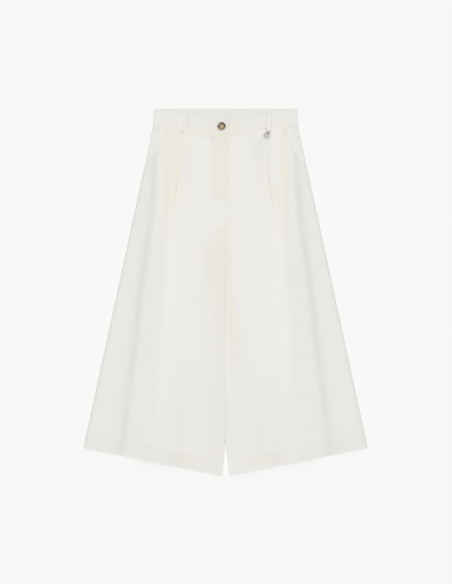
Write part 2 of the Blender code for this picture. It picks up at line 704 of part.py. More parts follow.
def yoke_point(side, column, share):
    """The hip yoke: it shows in the pocket's mouth and is the under side of the pocket."""
    y = pocket_y(side, yoke_outs, column, share)
    out = yoke_outs(side, y)[column]
    beyond = out - mouth_out(y)
    ply = lining_ply(y)
    under = yoke_under(side, out, y)
    level = front_height(side, out, y) - mix(ply, YOKE_LEVEL, ease(beyond / YOKE_STEP))
    height = mix(under, level, ease((beyond + YOKE_RISE) / YOKE_RISE))
    roll = max(0.0, out - (side_out(y) - CLOTH / 2 - ROLL_OUT)) / ROLL_OUT
    rim = rim_z(out, y) + GAP
    return Vector((out, y, mix(rim, max(height, rim), math.sqrt(max(0.0, 1 - roll * roll)))))


def bag_point(side, column, share):
    """The pocket bag's own layer, between the front and the yoke."""
    y = pocket_y(side, bag_outs, column, share) - BAG_WAIST_SHORT * (share == 0)
    out = bag_outs(side, y)[column]
    return Vector((out, y, max(room_under(side, out, y) - lining_ply(y),
                               yoke_under(side, out, y) + PLY)))


def pocket(side, where):
    hand = "left" if side > 0 else "right"
    count = len(yoke_outs(side, WAIST_SEAM_Y))
    rows = [[yoke_point(side, j, share) for j in range(count)] for share in YOKE_ROWS]
    cloth_piece(f"hip_yoke_{hand}", rows, "ivory_cloth", where, side)
    count = len(bag_outs(side, WAIST_SEAM_Y))
    rows = [[bag_point(side, j, share) for j in range(count)] for share in YOKE_ROWS]
    cloth_piece(f"pocket_bag_{hand}", rows, "lining_cloth", where, side)


# ---- waistband --------------------------------------------------------------------------------------
def band_z(side, out):
    start, end = BAND_STEP_OUT
    lift = BAND_LIFT * ease((end - out) / (end - start)) if side < 0 else 0.0
    return BAND_Z + lift


def band_point(side, out, share):
    """A point of a front waistband; past its roll `out` is drawn round to the back's edge."""
    foot = waist_y(side, out, "seam") + BAND_SEAM
    y = mix(foot, waist_y(side, out, "top"), share)
    return Vector((out, y, band_z(side, out)))


def front_band(side, where):
    hand = "left" if side > 0 else "right"
    rows = []
    for share in BAND_ROWS:
        if side > 0:
            starts = BAND_STARTS_LEFT
        else:
            starts = (-mix(*BAND_LAP, min(1, share * LAP_TAPER)), *BAND_STARTS_RIGHT)
        row = [band_point(side, out, share) for out in (*starts, *BAND_COLUMNS)]
        for angle in (0, 30, 60, 90):
            turn = math.radians(angle)
            edge = side_out(row[-1].y) - CLOTH / 2
            out = edge - BAND_ROLL * (1 - math.sin(turn))
            point = band_point(side, out, share)
            rim = BACK_BAND_Z + BAND / 2 + GAP + HAIR
            point.z = mix(rim, point.z, math.cos(turn))
            row.append(point)
        rows.append(row)
    made = cloth_piece(f"waistband_front_{hand}", rows, "ivory_cloth", where, side, BAND)
    if side < 0:
        cut_slit(made.data)


def cut_slit(mesh):
    """Opens the buttonhole: takes out the face between the slit's two columns and rows."""
    work = bmesh.new()
    work.from_mesh(mesh)
    middle = Vector((-sum(SLIT_OUT) / 2, BUTTON_AT[1]))
    found = min(work.faces, key=lambda f: (f.calc_center_median().xy - middle).length)
    bmesh.ops.delete(work, geom=[found], context="FACES")
    work.to_mesh(mesh)
    work.free()


def back_band(side, where):
    hand = "left" if side > 0 else "right"
    rows = [
        [Vector((mix(GAP / 2, side_out(y), t), y, BACK_BAND_Z)) for t in (0, 0.5, 1)]
        for y in (TOP_Y, WAIST_SEAM_Y + GAP / 2)
    ]
    cloth_piece(f"waistband_back_{hand}", rows, "ivory_cloth", where, side, BAND)


def belt_loop(loop, where):
    """A belt loop: one in front stands clear of the band, one behind is pressed flat."""
    across = (-LOOP_WIDTH / 2, 0, LOOP_WIDTH / 2)
    if loop.front:
        seams = [waist_y(loop.side, loop.foot_out + d, "seam") for d in across]
        start_y = waist_y(loop.side, loop.top_out, "top") + LOOP_OVER
        end_y = seams[1] - loop.below
        on_leg = max(front_section_top(loop.side, loop.foot_out + d, end_y) for d in across)
        shares = LOOP_ROWS
    else:
        start_y, end_y = TOP_Y - LOOP_SHORT, WAIST_SEAM_Y - loop.below
        shares = (0, 1)
    rows = []
    for share in shares:
        out, y = mix(loop.top_out, loop.foot_out, share), mix(start_y, end_y, share)
        z = LOOP_WALL / 2
        if loop.front:
            on_band = band_z(loop.side, out) + BAND / 2
            z += mix(on_band, on_leg, ease((max(seams) - y) / LOOP_STEP + 1)) + GAP
            z += LOOP_ARCH * math.sin(math.pi * share) ** 2
        rows.append([Vector((out + d, y, z)) for d in across])
    cloth_piece(loop.name, rows, "ivory_cloth", where, loop.side, LOOP_WALL)


def front_section_top(side, out, y):
    """The top of the front's cloth at one place, over the pleat's plies."""
    return smooth_height(side, out, y) + flap_lift(side, out, y) + CLOTH / 2


# ---- fly ----------------------------------------------------------------------------------------------
def fly_pieces(where):
    """The facing under the right front, the shield and zip behind it, and the zip's slider."""
    rows = []
    for share in FACING_ROWS:
        row = []
        for t in FACING_COLUMNS:
            out = mix(*FACING_OUT, t)
            top = waist_y(-1, out, "seam") - FACING_SHORT
            y = mix(top, FACING_END_Y + FACING_CURVE * t**3, share)
            row.append(Vector((out, y, front_height(-1, out, y) - PLY - HAIR)))
        rows.append(row)
    cloth_piece("fly_facing", rows, "ivory_cloth", where, -1)

    shield_above = CLOTH + 2 * GAP
    fly_strip("fly_shield", SHIELD_OUT, SHIELD_Y, shield_above, CLOTH, "ivory_cloth", where)
    zip_above = shield_above + CLOTH / 2 + GAP + ZIP_WALL / 2
    fly_strip("fly_zip", ZIP_OUT, ZIP_Y, zip_above, ZIP_WALL, "zip", where)

    x, y = SLIDER_CENTRE
    z = back_z(y) + zip_above + ZIP_WALL / 2 + 2 * HAIR + SLIDER_SIZE[2] / 2
    slider = place("zip_slider", block("zip_slider", SLIDER_SIZE), "zip", where, (x, y, z))
    corners = slider.modifiers.new("corners", "BEVEL")
    corners.width = SLIDER_EDGE
    corners.segments = 1


def fly_strip(name, outs, ends, above, wall, surface, where):
    """A straight strip whose middle runs this far above the middle of the back's wall."""
    ys = [mix(*ends, share) for share in STRIP_ROWS]
    rows = [[Vector((out, y, back_z(y) + above)) for out in outs] for y in ys]
    cloth_piece(name, rows, surface, where, 1, wall)


# ---- button -------------------------------------------------------------------------------------------
def turned(name, profile, steps, surface, where, at):
    """A profile of (radius, height), from top to bottom, turned round a vertical axis."""
    work = bmesh.new()
    verts = [work.verts.new((radius, 0, height)) for radius, height in profile]
    for pair in zip(verts, verts[1:]):
        work.edges.new(pair)
    made = place(name, finished(name, work), surface, where, at)
    screw = made.modifiers.new("turn", "SCREW")
    screw.steps = steps
    screw.render_steps = steps
    screw.use_merge_vertices = True
    screw.merge_threshold = 0.00001
    return made


def tool(name, mesh, where, at):
    """A cutter, or a shape that is joined on: it isn't a piece by itself."""
    made = place(name, mesh, "thread", where, at)
    made.hide_render = True
    made.display_type = "WIRE"
    return made


def join_with(target, tools, operation):
    modifier = target.modifiers.new(operation.lower(), "BOOLEAN")
    modifier.operation = operation
    modifier.solver = "EXACT"
    modifier.operand_type = "COLLECTION"
    modifier.collection = tools


def button(where, holes, stitches):
    """The four-hole horn button and the thread that holds it, through the buttonhole."""
    low = BAND_Z + BAND_LIFT + BAND / 2 + BUTTON_CLEAR
    profile = [(share * BUTTON_RADIUS, height) for share, height in BUTTON_PROFILE]
    made = turned("button", profile, 32, "horn", where, (*BUTTON_AT, low))
    join_with(made, holes, "DIFFERENCE")

    foot = BAND_Z + BAND / 2 + GAP / 2
    reach = BUTTON_HOLE_SPREAD * math.sqrt(2) + THREAD_RADIUS + HAIR
    head = low - GAP / 2
    profile = (
        (0, head), (reach, head), (reach, head - SHANK_STEP),
        (SHANK_RADIUS, head - BUTTON_CLEAR + SHANK_STEP), (SHANK_RADIUS, foot), (0, foot),
    )
    shank = turned("button_thread", profile, 16, "thread", where, (*BUTTON_AT, 0))
    join_with(shank, stitches, "UNION")

    x, y = BUTTON_AT
    top = low + BUTTON_DISH + THREAD_RISE
    length = top - head + 2 * HAIR
    for i in (-1, 1):
        for j in (-1, 1):
            at = (x + i * BUTTON_HOLE_SPREAD, y + j * BUTTON_HOLE_SPREAD)
            mark = f"{'left' if i > 0 else 'right'}_{'top' if j > 0 else 'foot'}"
            tool(f"hole_{mark}", rod("hole", BUTTON_HOLE_RADIUS, 0.006, 10), holes, (*at, low))
            tool(f"leg_{mark}", rod("leg", THREAD_RADIUS, length, 8), stitches,
                 (*at, top - length / 2))
        size = (1.3 * THREAD_RADIUS, 2 * BUTTON_HOLE_SPREAD, THREAD_RADIUS)
        tool(f"bar_{'left' if i > 0 else 'right'}", block("bar", size), stitches,
             (x + i * BUTTON_HOLE_SPREAD, y, top - 0.6 * THREAD_RADIUS))


# ---- charm --------------------------------------------------------------------------------------------
def closed_spline(curve, points):
    spline = curve.splines.new("POLY")
    spline.points.add(len(points) - 1)
    for spot, point in zip(spline.points, points):
        spot.co = (*point, 0, 1)
    spline.use_cyclic_u = True


def drop_outline(inset):
    """The drop about its eye, which is at the origin, with the round end towards -Y."""
    taper = math.acos((DROP_RADIUS - EYE_RADIUS) / DROP_LENGTH)
    points = []
    for drop, radius, start, end, count in (
        (0.0, EYE_RADIUS - inset, -taper, taper, 8),
        (DROP_LENGTH, DROP_RADIUS - inset, taper, 2 * math.pi - taper, 20),
    ):
        for k in range(count + 1):
            angle = mix(start, end, k / count)
            points.append((radius * math.sin(angle), radius * math.cos(angle) - drop))
    return points


def charm(where, cutters):
    """A plain flat drop with an eye, and the thread that ties its eye to the cloth.

    The drop swings about the middle of its eye's rim, where the thread holds it.
    """
    turn = Matrix.Rotation(-math.radians(CHARM_TURN), 3, "Z")
    down = turn @ Vector((0, -1, 0))
    across = turn @ Vector((1, 0, 0))
    eye = Vector((*CHARM_AT, 0))
    to_eye = (EYE_RADIUS + EYE_HOLE) / 2
    ground = max(
        front_section_top(1, *(eye + down * along + across * aside).xy)
        for along in (-0.003, 0, 0.008, 0.017)
        for aside in (-DROP_RADIUS, 0, DROP_RADIUS)
    )
    pivot = eye - down * to_eye
    pivot.z = ground + CHARM_CLEAR + CHARM_WALL / 2

    flat = bpy.data.curves.new("charm", "CURVE")
    flat.dimensions = "2D"
    flat.fill_mode = "BOTH"
    flat.extrude = CHARM_WALL / 2 - CHARM_EDGE
    flat.bevel_depth = CHARM_EDGE
    flat.bevel_resolution = 0
    closed_spline(flat, [(a, b - to_eye) for a, b in drop_outline(CHARM_EDGE)])
    made = place("charm", flat, "silver", where, pivot)
    made.rotation_euler.z = -math.radians(CHARM_TURN)
    made = as_mesh(made)
    tool("eye_hole", rod("eye_hole", EYE_HOLE, 0.004, 16), cutters, (*eye.xy, pivot.z))
    join_with(made, cutters, "DIFFERENCE")

    tie = bpy.data.curves.new("charm_thread", "CURVE")
    tie.dimensions = "3D"
    tie.bevel_depth = TIE_RADIUS
    tie.bevel_resolution = 2
    tie.use_fill_caps = True
    foot = ground + GAP / 2 - pivot.z
    arch = [(math.cos(math.radians(a)), math.sin(math.radians(a))) for a in range(0, 181, 20)]
    path = [(1, foot / TIE_ARCH), *arch, (-1, foot / TIE_ARCH)]
    spline = tie.splines.new("POLY")
    spline.points.add(len(path) - 1)
    for spot, (along, up) in zip(spline.points, path):
        spot.co = (0, -along * TIE_ARCH, up * TIE_ARCH, 1)
    thread = place("charm_thread", tie, "thread", where, pivot)
    thread.rotation_euler.z = -math.radians(CHARM_TURN)


def as_mesh(source):
    """A curve object made a welded mesh object, so that a Boolean can cut it."""
    bpy.context.view_layer.update()
    name, where = source.name, source.users_collection[0]
    found = source.evaluated_get(bpy.context.evaluated_depsgraph_get())
    mesh = bpy.data.meshes.new_from_object(found)
    work = bmesh.new()
    work.from_mesh(mesh)
    bmesh.ops.remove_doubles(work, verts=work.verts, dist=0.00001)
    work.to_mesh(mesh)
    work.free()
    place_matrix = source.matrix_world.copy()
    bpy.data.objects.remove(source)
    made = bpy.data.objects.new(name, mesh)
    made.matrix_world = place_matrix
    where.objects.link(made)
    return made


def main():
    clear_scene()
    garment = collection("culottes")
    holes = collection("button_cutters")
    stitches = collection("button_stitches")
    cutters = collection("charm_cutters")
    for side in (-1, 1):
        front_panel(side, garment)
        back_panel(side, garment)
        pocket(side, garment)
        front_band(side, garment)
        back_band(side, garment)
    for loop in LOOPS:
        belt_loop(loop, garment)
    fly_pieces(garment)
    button(garment, holes, stitches)
    charm(garment, cutters)


main()
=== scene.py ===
"""Wide-leg culottes laid flat: cloth, sewing, zip, button, charm and studio.

Every cloth piece is a fine grid on the middle of its wall, in the form of its CAD solid, with
soft creases laid on it, and Solidify gives it the wall.  Panels are worked out for the
wearer's left leg at +X, with `out` the distance from the centre line; side -1 turns them to the
right leg.  Lengths are metres.
"""

import json
import math
from collections import namedtuple
from functools import lru_cache

import bmesh
import bpy
import numpy as np
from bpy.props import FloatProperty, FloatVectorProperty, PointerProperty
from mathutils import Matrix, Vector
from mathutils.bvhtree import BVHTree


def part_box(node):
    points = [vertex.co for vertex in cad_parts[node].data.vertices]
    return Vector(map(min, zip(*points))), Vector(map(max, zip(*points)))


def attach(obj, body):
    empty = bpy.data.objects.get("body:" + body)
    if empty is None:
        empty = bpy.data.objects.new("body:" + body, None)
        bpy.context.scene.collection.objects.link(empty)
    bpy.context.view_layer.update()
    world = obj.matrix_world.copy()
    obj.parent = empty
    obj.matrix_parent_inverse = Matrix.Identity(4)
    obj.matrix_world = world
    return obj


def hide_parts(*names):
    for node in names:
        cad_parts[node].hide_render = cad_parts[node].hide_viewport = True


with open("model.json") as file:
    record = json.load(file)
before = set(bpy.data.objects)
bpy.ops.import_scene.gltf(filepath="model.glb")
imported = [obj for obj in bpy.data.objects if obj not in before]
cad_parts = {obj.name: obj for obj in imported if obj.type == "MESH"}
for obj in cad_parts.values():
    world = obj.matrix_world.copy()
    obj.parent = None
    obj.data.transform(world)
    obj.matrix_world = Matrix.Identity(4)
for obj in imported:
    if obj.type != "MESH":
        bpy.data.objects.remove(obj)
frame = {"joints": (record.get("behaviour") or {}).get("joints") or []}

bl_info = {
    "name": "Wide-leg culottes",
    "version": (1, 0, 0),
    "blender": (4, 5, 0),
    "location": "View3D > Sidebar > Culottes",
    "description": "Makes the cloth, sewing, zip, button and charm of culottes laid flat",
    "category": "Object",
}

# ---- sizes of the cut, as the CAD solids have them -----------------------------------------------
CLOTH = 0.0010
BAND = 0.0014
GAP = 0.0003
HAIR = 0.0001
SEAM = 0.00002  # half of the gap between pieces that are sewn edge to edge
PLY = CLOTH + 0.0004

TOP_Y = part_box("waistband_back_left")[1].y
HEM_INNER_Y = -0.4292
HEM_OUTER_Y = -0.3637
HEM_INNER_OUT = 0.0082
WAIST_OUT = 0.1668
WAIST_SEAM_OUT = 0.1696
WAIST_SEAM_Y = 0.3900
FLARE = 0.2170
FLARE_START = 0.0040
LEG_GAP_Y = -0.3480
CROTCH_Y = 0.1100
CROTCH_REACH = 0.0700
INSET_START = 0.0040
INSET_LENGTH = 0.0180
ROLL_OUT = 0.0060
ROLL_IN = 0.0050
# Where the left leg's inner edge lies over the right one's: distance out from the centre and
# share of the way up, from the edge's foot to its top.
LAP_EDGE = (
    (0.00075, 0.00), (0.00080, 0.25), (0.00055, 0.48), (-0.00035, 0.62), (-0.00080, 0.76),
    (-0.00050, 0.89), (0.00060, 0.965), (0.00260, 0.995), (0.00575, 1.00),
)
LAP_Y = (0.1060, -0.3480)
LAP_FADE = (0.0350, 0.0120)
HEM_DEPTH = 0.0380
HEM_FOLD = PLY / 2
HEM_LIFT_FADE = 0.0120
BACK_RISE = 0.0014
BACK_RISE_START = 0.3300

FLY_LAP = 0.0045
FLY_END_Y = 0.2220
FLY_STEP_Y = 0.1760
FLY_LIFT = PLY
FLY_LIFT_OUT = (0.0130, 0.0230)
FLY_TURN = 0.0200
FACING_OUT = (0.0006, 0.0290)
FACING_END_Y = 0.2080
FACING_CURVE = 0.0320
FACING_SHORT = 0.0020
SHIELD_OUT = (-0.0330, 0.0100)
SHIELD_Y = (0.3560, 0.1980)
ZIP_OUT = (-0.0160, 0.0080)
ZIP_Y = (0.3550, 0.2200)
ZIP_WALL = 0.0010

MOUTH_TOP_OUT = 0.1400
MOUTH_END_Y = 0.2770
BAG_BESIDE_PLEAT = 0.0105
BAG_WAIST_CLEAR = 0.0085
POCKET_SETTLE = 0.0500
BAG_END_Y = 0.1850
BAG_CORNER = 0.0300
BAG_FOOT_Y = 0.1950
BAG_INSET = 0.0110
BAG_INSET_START = 0.0400
BAG_INSET_LENGTH = 0.0300
BAG_EDGE = (0.0020, 0.0040)
BAG_OPENS = (0.0020, 0.0250)
BAG_WAIST_SHORT = 0.0040
YOKE_STEP = 0.0120
YOKE_RISE = 0.0100
YOKE_LEVEL = 0.0006
YOKE_MOUTH = ((-0.016, 0.026), (-0.003, 0.020), (0.008, 0.013))
LINING_PLY = 0.0017
NEARBY = (-0.005, -0.0025, 0.0025, 0.005)  # places on both sides, for the least room there

BAND_UNDERLAP = 0.0320
BAND_LAP = (0.0035, 0.0070)
LAP_TAPER = 1.6
BAND_Z = 0.0056
BAND_LIFT = BAND + 0.00045
BAND_STEP_OUT = (0.0380, 0.0520)
BAND_ROLL = 0.0055
BAND_FLAT = 0.1600  # how far out it lies flat
BAND_STEP = 0.0040  # between its columns
BACK_BAND_Z = 0.0021
SLIT_OUT = (0.0005, 0.0205)
SLIT_SHARE = 0.568  # its height on the band
SLIT_HALF = 0.00018  # half of the buttonhole's width, at its ends
SLIT_SPREAD = 0.00110  # and how much its lips are spread by the button's shank
SLIT_SPREAD_HALF = 0.0045
LOOP_WIDTH = 0.0112
LOOP_WALL = 0.0010
LOOP_ARCH = 0.0012
LOOP_OVER = 0.0004
LOOP_SHORT = 0.0006
LOOP_STEP = 0.0040

GROOVE_DEPTH = 0.0026
GROOVE_HALF = 0.0095
GROOVE_START = (0.3600, 0.0600)
GROOVE_TO_MOUTH = 0.0100
GROOVE_TO_CREST = 0.0110
CREST_HALF = 0.0140
PLEAT_RADIUS = 0.0007
PLEAT_LEAD = 0.0060

Station = namedtuple("Station", "y crest crest_z groove groove_z centre_z side_z")
STATIONS = (
    Station(0.3900, 0.1160, 0.0060, 0.1290, 0.0060, 0.0060, 0.0060),
    Station(0.3500, 0.1260, 0.0072, 0.1500, 0.0060, 0.0062, 0.0060),
    Station(0.3100, 0.1310, 0.0088, 0.1650, 0.0057, 0.0066, 0.0062),
    Station(0.2500, 0.1350, 0.0106, 0.1680, 0.0055, 0.0072, 0.0068),
    Station(0.1860, 0.1370, 0.0120, 0.1730, 0.0054, 0.0078, 0.0074),
    Station(0.1000, 0.1400, 0.0130, 0.1850, 0.0053, 0.0084, 0.0078),
    Station(-0.0200, 0.1470, 0.0138, 0.2015, 0.0052, 0.0088, 0.0080),
    Station(-0.1300, 0.1550, 0.0140, 0.2130, 0.0052, 0.0088, 0.0080),
    Station(-0.2500, 0.1630, 0.0138, 0.2285, 0.0051, 0.0086, 0.0078),
    Station(-0.3400, 0.1690, 0.0134, 0.2380, 0.0051, 0.0084, 0.0076),
    Station(-0.4300, 0.1750, 0.0130, 0.2480, 0.0051, 0.0082, 0.0074),
)
WaistPoint = namedtuple("WaistPoint", "out seam_right seam_left top_right top_left")
WAIST_LINE = (
    WaistPoint(-0.035, 0.3628, 0.3648, 0.4062, 0.4056),
    WaistPoint(0.000, 0.3626, 0.3634, 0.4064, 0.4058),
    WaistPoint(0.035, 0.3628, 0.3668, 0.4070, 0.4085),
    WaistPoint(0.070, 0.3645, 0.3760, 0.4100, 0.4130),
    WaistPoint(0.105, 0.3765, 0.3858, 0.4180, 0.4192),
    WaistPoint(0.140, 0.3860, 0.3895, 0.4250, 0.4252),
    WaistPoint(0.175, 0.3890, 0.3895, 0.4290, 0.4290),
)
PleatPoint = namedtuple("PleatPoint", "y out_right out_left turn depth rise")
PLEAT = (
    PleatPoint(0.3900, 0.0955, 0.0930, 180, 0.0140, 0.0080),
    PleatPoint(0.3500, 0.0985, 0.0945, 180, 0.0130, 0.0110),
    PleatPoint(0.3200, 0.1035, 0.0965, 180, 0.0120, 0.0150),
    PleatPoint(0.2720, 0.1085, 0.0990, 176, 0.0090, 0.0180),
    PleatPoint(0.2450, 0.1125, 0.1020, 150, 0.0060, 0.0200),
    PleatPoint(0.2220, 0.1160, 0.1050, 100, 0.0040, 0.0200),
    PleatPoint(0.2000, 0.1185, 0.1085, 50, 0.0040, 0.0200),
    PleatPoint(0.1750, 0.1200, 0.1110, 20, 0.0060, 0.0200),
    PleatPoint(0.1200, 0.1215, 0.1130, 8, 0.0080, 0.0250),
    PleatPoint(-0.4300, 0.1250, 0.1190, 4, 0.0100, 0.0300),
)
Loop = namedtuple("Loop", "name side top_out foot_out below front")
LOOPS = (
    Loop("belt_loop_front_right", -1, 0.0885, 0.0965, 0.0020, True),
    Loop("belt_loop_front_left", 1, 0.1015, 0.1005, 0.0080, True),
    Loop("belt_loop_back_right", -1, 0.1040, 0.1060, 0.0045, False),
    Loop("belt_loop_back_left", 1, 0.1040, 0.1060, 0.0045, False),
    Loop("belt_loop_back_centre", 1, 0.0000, 0.0000, 0.0045, False),
)

# ---- creases -------------------------------------------------------------------------------------
# Each runs down the cloth through three distances out from the centre, at its top, half way and
# at its foot. A trough has a negative rise; `shade` is how much shade is painted into the cloth in
# it.
Crease = namedtuple("Crease", "side top_y top_out middle_out foot_y foot_out half_width rise shade")
CREASES = (
    # right leg: the slack beside the crotch, and the long soft troughs below the knee
    Crease(-1, 0.165, 0.026, 0.050, -0.100, 0.040, 0.0150, -0.0016, 0.014),
    Crease(-1, 0.120, 0.012, 0.016, -0.240, 0.012, 0.0100, -0.0008, 0.010),
    Crease(-1, -0.150, 0.092, 0.106, -0.428, 0.111, 0.0150, -0.0019, 0.016),
    Crease(-1, -0.060, 0.070, 0.074, -0.330, 0.066, 0.0160, 0.0009, 0.000),
    Crease(-1, -0.260, 0.036, 0.040, -0.430, 0.046, 0.0130, -0.0008, 0.008),
    Crease(-1, 0.330, 0.062, 0.060, 0.170, 0.056, 0.0140, 0.0005, 0.000),
    # left leg: the curved trough that swings out from the crotch to the hem, and its ridges
    Crease(1, 0.190, 0.004, 0.007, -0.040, 0.013, 0.0055, -0.0009, 0.012),
    Crease(1, 0.010, 0.008, 0.030, -0.240, 0.057, 0.0090, -0.0022, 0.006),
    Crease(1, -0.170, 0.052, 0.070, -0.400, 0.088, 0.0110, -0.0020, 0.017),
    Crease(1, 0.020, 0.028, 0.062, -0.300, 0.094, 0.0120, 0.0009, 0.000),
    Crease(1, -0.120, 0.016, 0.030, -0.330, 0.040, 0.0110, 0.0008, 0.000),
    Crease(1, -0.260, 0.104, 0.114, -0.428, 0.124, 0.0140, -0.0017, 0.014),
    Crease(1, 0.350, 0.078, 0.078, 0.262, 0.081, 0.0135, -0.0011, 0.022),
    # soft ripples that hang from the waist seam
    Crease(-1, 0.372, 0.122, 0.124, 0.210, 0.127, 0.0045, 0.0005, 0.000),
    Crease(-1, 0.368, 0.133, 0.136, 0.240, 0.139, 0.0040, -0.0004, 0.008),
    Crease(1, 0.372, 0.117, 0.120, 0.200, 0.124, 0.0045, -0.0004, 0.008),
    Crease(1, 0.368, 0.129, 0.133, 0.220, 0.137, 0.0045, 0.0005, 0.000),
    Crease(-1, 0.355, 0.079, 0.081, 0.250, 0.086, 0.0050, -0.0003, 0.006),
)
CREASE_FADE = 0.0600  # length over which a crease dies out at each end
PRESSED_RISE = 0.0008  # the fold line that is pressed into each leg
PRESSED_HALF = 0.0045
PRESSED_START = (0.1900, 0.0600)
LAY_FROM, LAY_REACH = 0.0022, 0.0040  # cloth below the first height isn't creased
# The back: soft ridges where its cloth lifts from the surface, in the open middle of each leg.
BACK_CREASES = (
    Crease(-1, 0.120, 0.060, 0.066, -0.330, 0.080, 0.0130, 0.0014, 0.0),
    Crease(-1, 0.040, 0.118, 0.132, -0.350, 0.150, 0.0150, 0.0017, 0.0),
    Crease(-1, -0.080, 0.176, 0.196, -0.330, 0.214, 0.0140, 0.0013, 0.0),
    Crease(1, 0.150, 0.050, 0.070, -0.300, 0.100, 0.0140, 0.0015, 0.0),
    Crease(1, 0.020, 0.124, 0.134, -0.360, 0.142, 0.0130, 0.0014, 0.0),
    Crease(1, -0.120, 0.168, 0.192, -0.320, 0.206, 0.0150, 0.0016, 0.0),
)

# How finely the pieces are divided: lengths down a panel and columns across its stretches.
ROW_STEP = 0.0055
TOP_ROWS = (0.0, 0.0008, 0.0020, 0.0036)  # rows this far below a panel's top edge
HEM_STEP = 0.0050
ROLL_STEPS = np.linspace(0, 1, len(LAP_EDGE))
CENTRE_STEPS = np.linspace(0, 1, 27)[1:-1]
FALL_STEPS = np.linspace(0, 1, 13)[1:]
HIP_STEPS = np.linspace(0, 1, 10)[1:]
OUTER_STEPS = np.linspace(0, 1, 17)[1:]
EDGE_STEPS = np.linspace(0, 1, 9)[1:]
EDGE_START = 0.97
# The pleat's columns: which part of its S they are on, and how far along it.
PLEAT_COLUMNS = (
    [("before", 0)] + [("fold", t) for t in (0, 0.25, 0.5, 0.75, 1)]
    + [("under", t) for t in (0.33, 0.67, 1)]
    + [("return", t) for t in (0.75, 0.5, 0.25, 0)] + [("after", t) for t in (0.35, 0.7, 1)]
)

# Rows of a front waistband from its foot up, as shares of the way from its foot to the
# buttonhole, across the buttonhole, and from there to its top.
BAND_ROWS = np.array(
    [(share, 0, 0) for share in (0, 0.02, 0.06, 0.15, 0.30, 0.50, 0.72, 0.90, 1)]
    + [(1, 1, share) for share in (0, 0.10, 0.28, 0.50, 0.70, 0.85, 0.94, 0.98, 1)]
).T[..., None]

# Sewing.
STITCH_LENGTH = 0.0026
STITCH_GAP = 0.0007
STITCH_RADIUS = 0.00017
EDGE_STITCH = 0.0020  # from an edge to its line of stitches
FLY_STITCH_OUT = 0.0270
BARTACK_WIDTH = 0.0014
BARTACK_PITCH = 0.00045  # between stitches that lie side by side
MOUTH_STITCHES = (0.0020, 0.0075)  # its two rows, in from the pocket's mouth
MOUTH_BARTACK = 0.0070
MOUTH_BARTACK_IN = 0.0048
OVERHEAD = 0.06  # above all pieces

# Zip.
TAPE_WALL = ZIP_WALL * 0.7
TOOTH = (0.0028, 0.0012, 0.0008)
TOOTH_PITCH = 0.0022
TOOTH_OUT = 0.0007  # of each row, from the zip's middle
TEETH_START = 0.0060  # from the tapes' foot
TEETH_LIFT = 0.0007  # from the middle of the tapes' wall to the middle of the teeth
ZIP_STOP = (0.0050, 0.0024, 0.0010)
ZIP_STOP_BELOW = 0.0020

# Button and charm.
BUTTON_AT = (-0.0094, 0.3875)
BUTTON_RADIUS = 0.0092
BUTTON_HOLE_RADIUS = 0.0009
BUTTON_HOLE_SPREAD = 0.0018
BUTTON_CORNERS = [(i, j) for i in (-1, 1) for j in (-1, 1)]
SHANK_RADIUS = 0.0009
SHANK_TURNS = 3
# (share of the button's radius, height above its underside), from top to bottom.
BUTTON_PROFILE = (
    (0, 0.0016), (0.45, 0.00162), (0.60, 0.00172), (0.68, 0.00200), (0.74, 0.00238),
    (0.80, 0.00256), (0.87, 0.00260), (0.93, 0.00246), (0.97, 0.00216), (0.99, 0.00180),
    (1, 0.00142), (0.985, 0.00100), (0.93, 0.00058), (0.84, 0.00022), (0.70, 0), (0, 0),
)
CHARM_TURN = -math.radians(37)  # it hangs this far away from straight down
DROP_RADIUS = 0.0059
DROP_LENGTH = 0.0104
DROP_HOLLOW = (0.0034, 0.00035)  # radius and depth of the round hollow in its face
DROP_AT = (0.0946, 0.3652)  # the middle of its round end
DROP_EDGE = 0.00042
EYE_RADIUS = 0.0018
EYE_HOLE = 0.0009
TIE_RADIUS = 0.00016
TIE_ARCH = 0.0013

# Stage.
FLOOR_BELOW = 0.0004  # the part
CAMERA_AT = (0.0009, 0.0007)


# ---- small mathematics ---------------------------------------------------------------------------
def ease(t):
    """0 before 0, 1 after 1, and a smooth step between."""
    t = np.clip(t, 0.0, 1.0)
    return t * t * (3 - 2 * t)


def above(value, start, length):
    """0 up to a start, 1 from this length beyond it."""
    return ease((value - start) / length)


def below(value, start, length):
    """0 down to a start, 1 from this length under it."""
    return ease((start - value) / length)


def mix(a, b, t):
    return a + (b - a) * t


def bell(distance, half_width):
    """1 on a line, falling off smoothly at this half width."""
    return np.exp(-((distance / half_width) ** 2))


@lru_cache(maxsize=None)
def columns_of(table, key, column):
    rows = sorted(table, key=lambda row: getattr(row, key))
    keys = np.array([getattr(row, key) for row in rows])
    values = np.array([getattr(row, column) for row in rows])
    slopes = np.empty(len(keys))
    slopes[1:-1] = (values[2:] - values[:-2]) / (keys[2:] - keys[:-2])
    slopes[0] = (values[1] - values[0]) / (keys[1] - keys[0])
    slopes[-1] = (values[-1] - values[-2]) / (keys[-1] - keys[-2])
    return keys, values, slopes


def read(table, key, value, column):
    """The column of a table where its key column has this value, smooth between the rows."""
    keys, values, slopes = columns_of(table, key, column)
    value = np.clip(value, keys[0], keys[-1])
    i = np.clip(np.searchsorted(keys, value, side="right") - 1, 0, len(keys) - 2)
    span = keys[i + 1] - keys[i]
    t = (value - keys[i]) / span
    return (
        (2 * t**3 - 3 * t**2 + 1) * values[i]
        + (t**3 - 2 * t**2 + t) * span * slopes[i]
        + (3 * t**2 - 2 * t**3) * values[i + 1]
        + (t**3 - t**2) * span * slopes[i + 1]
    )


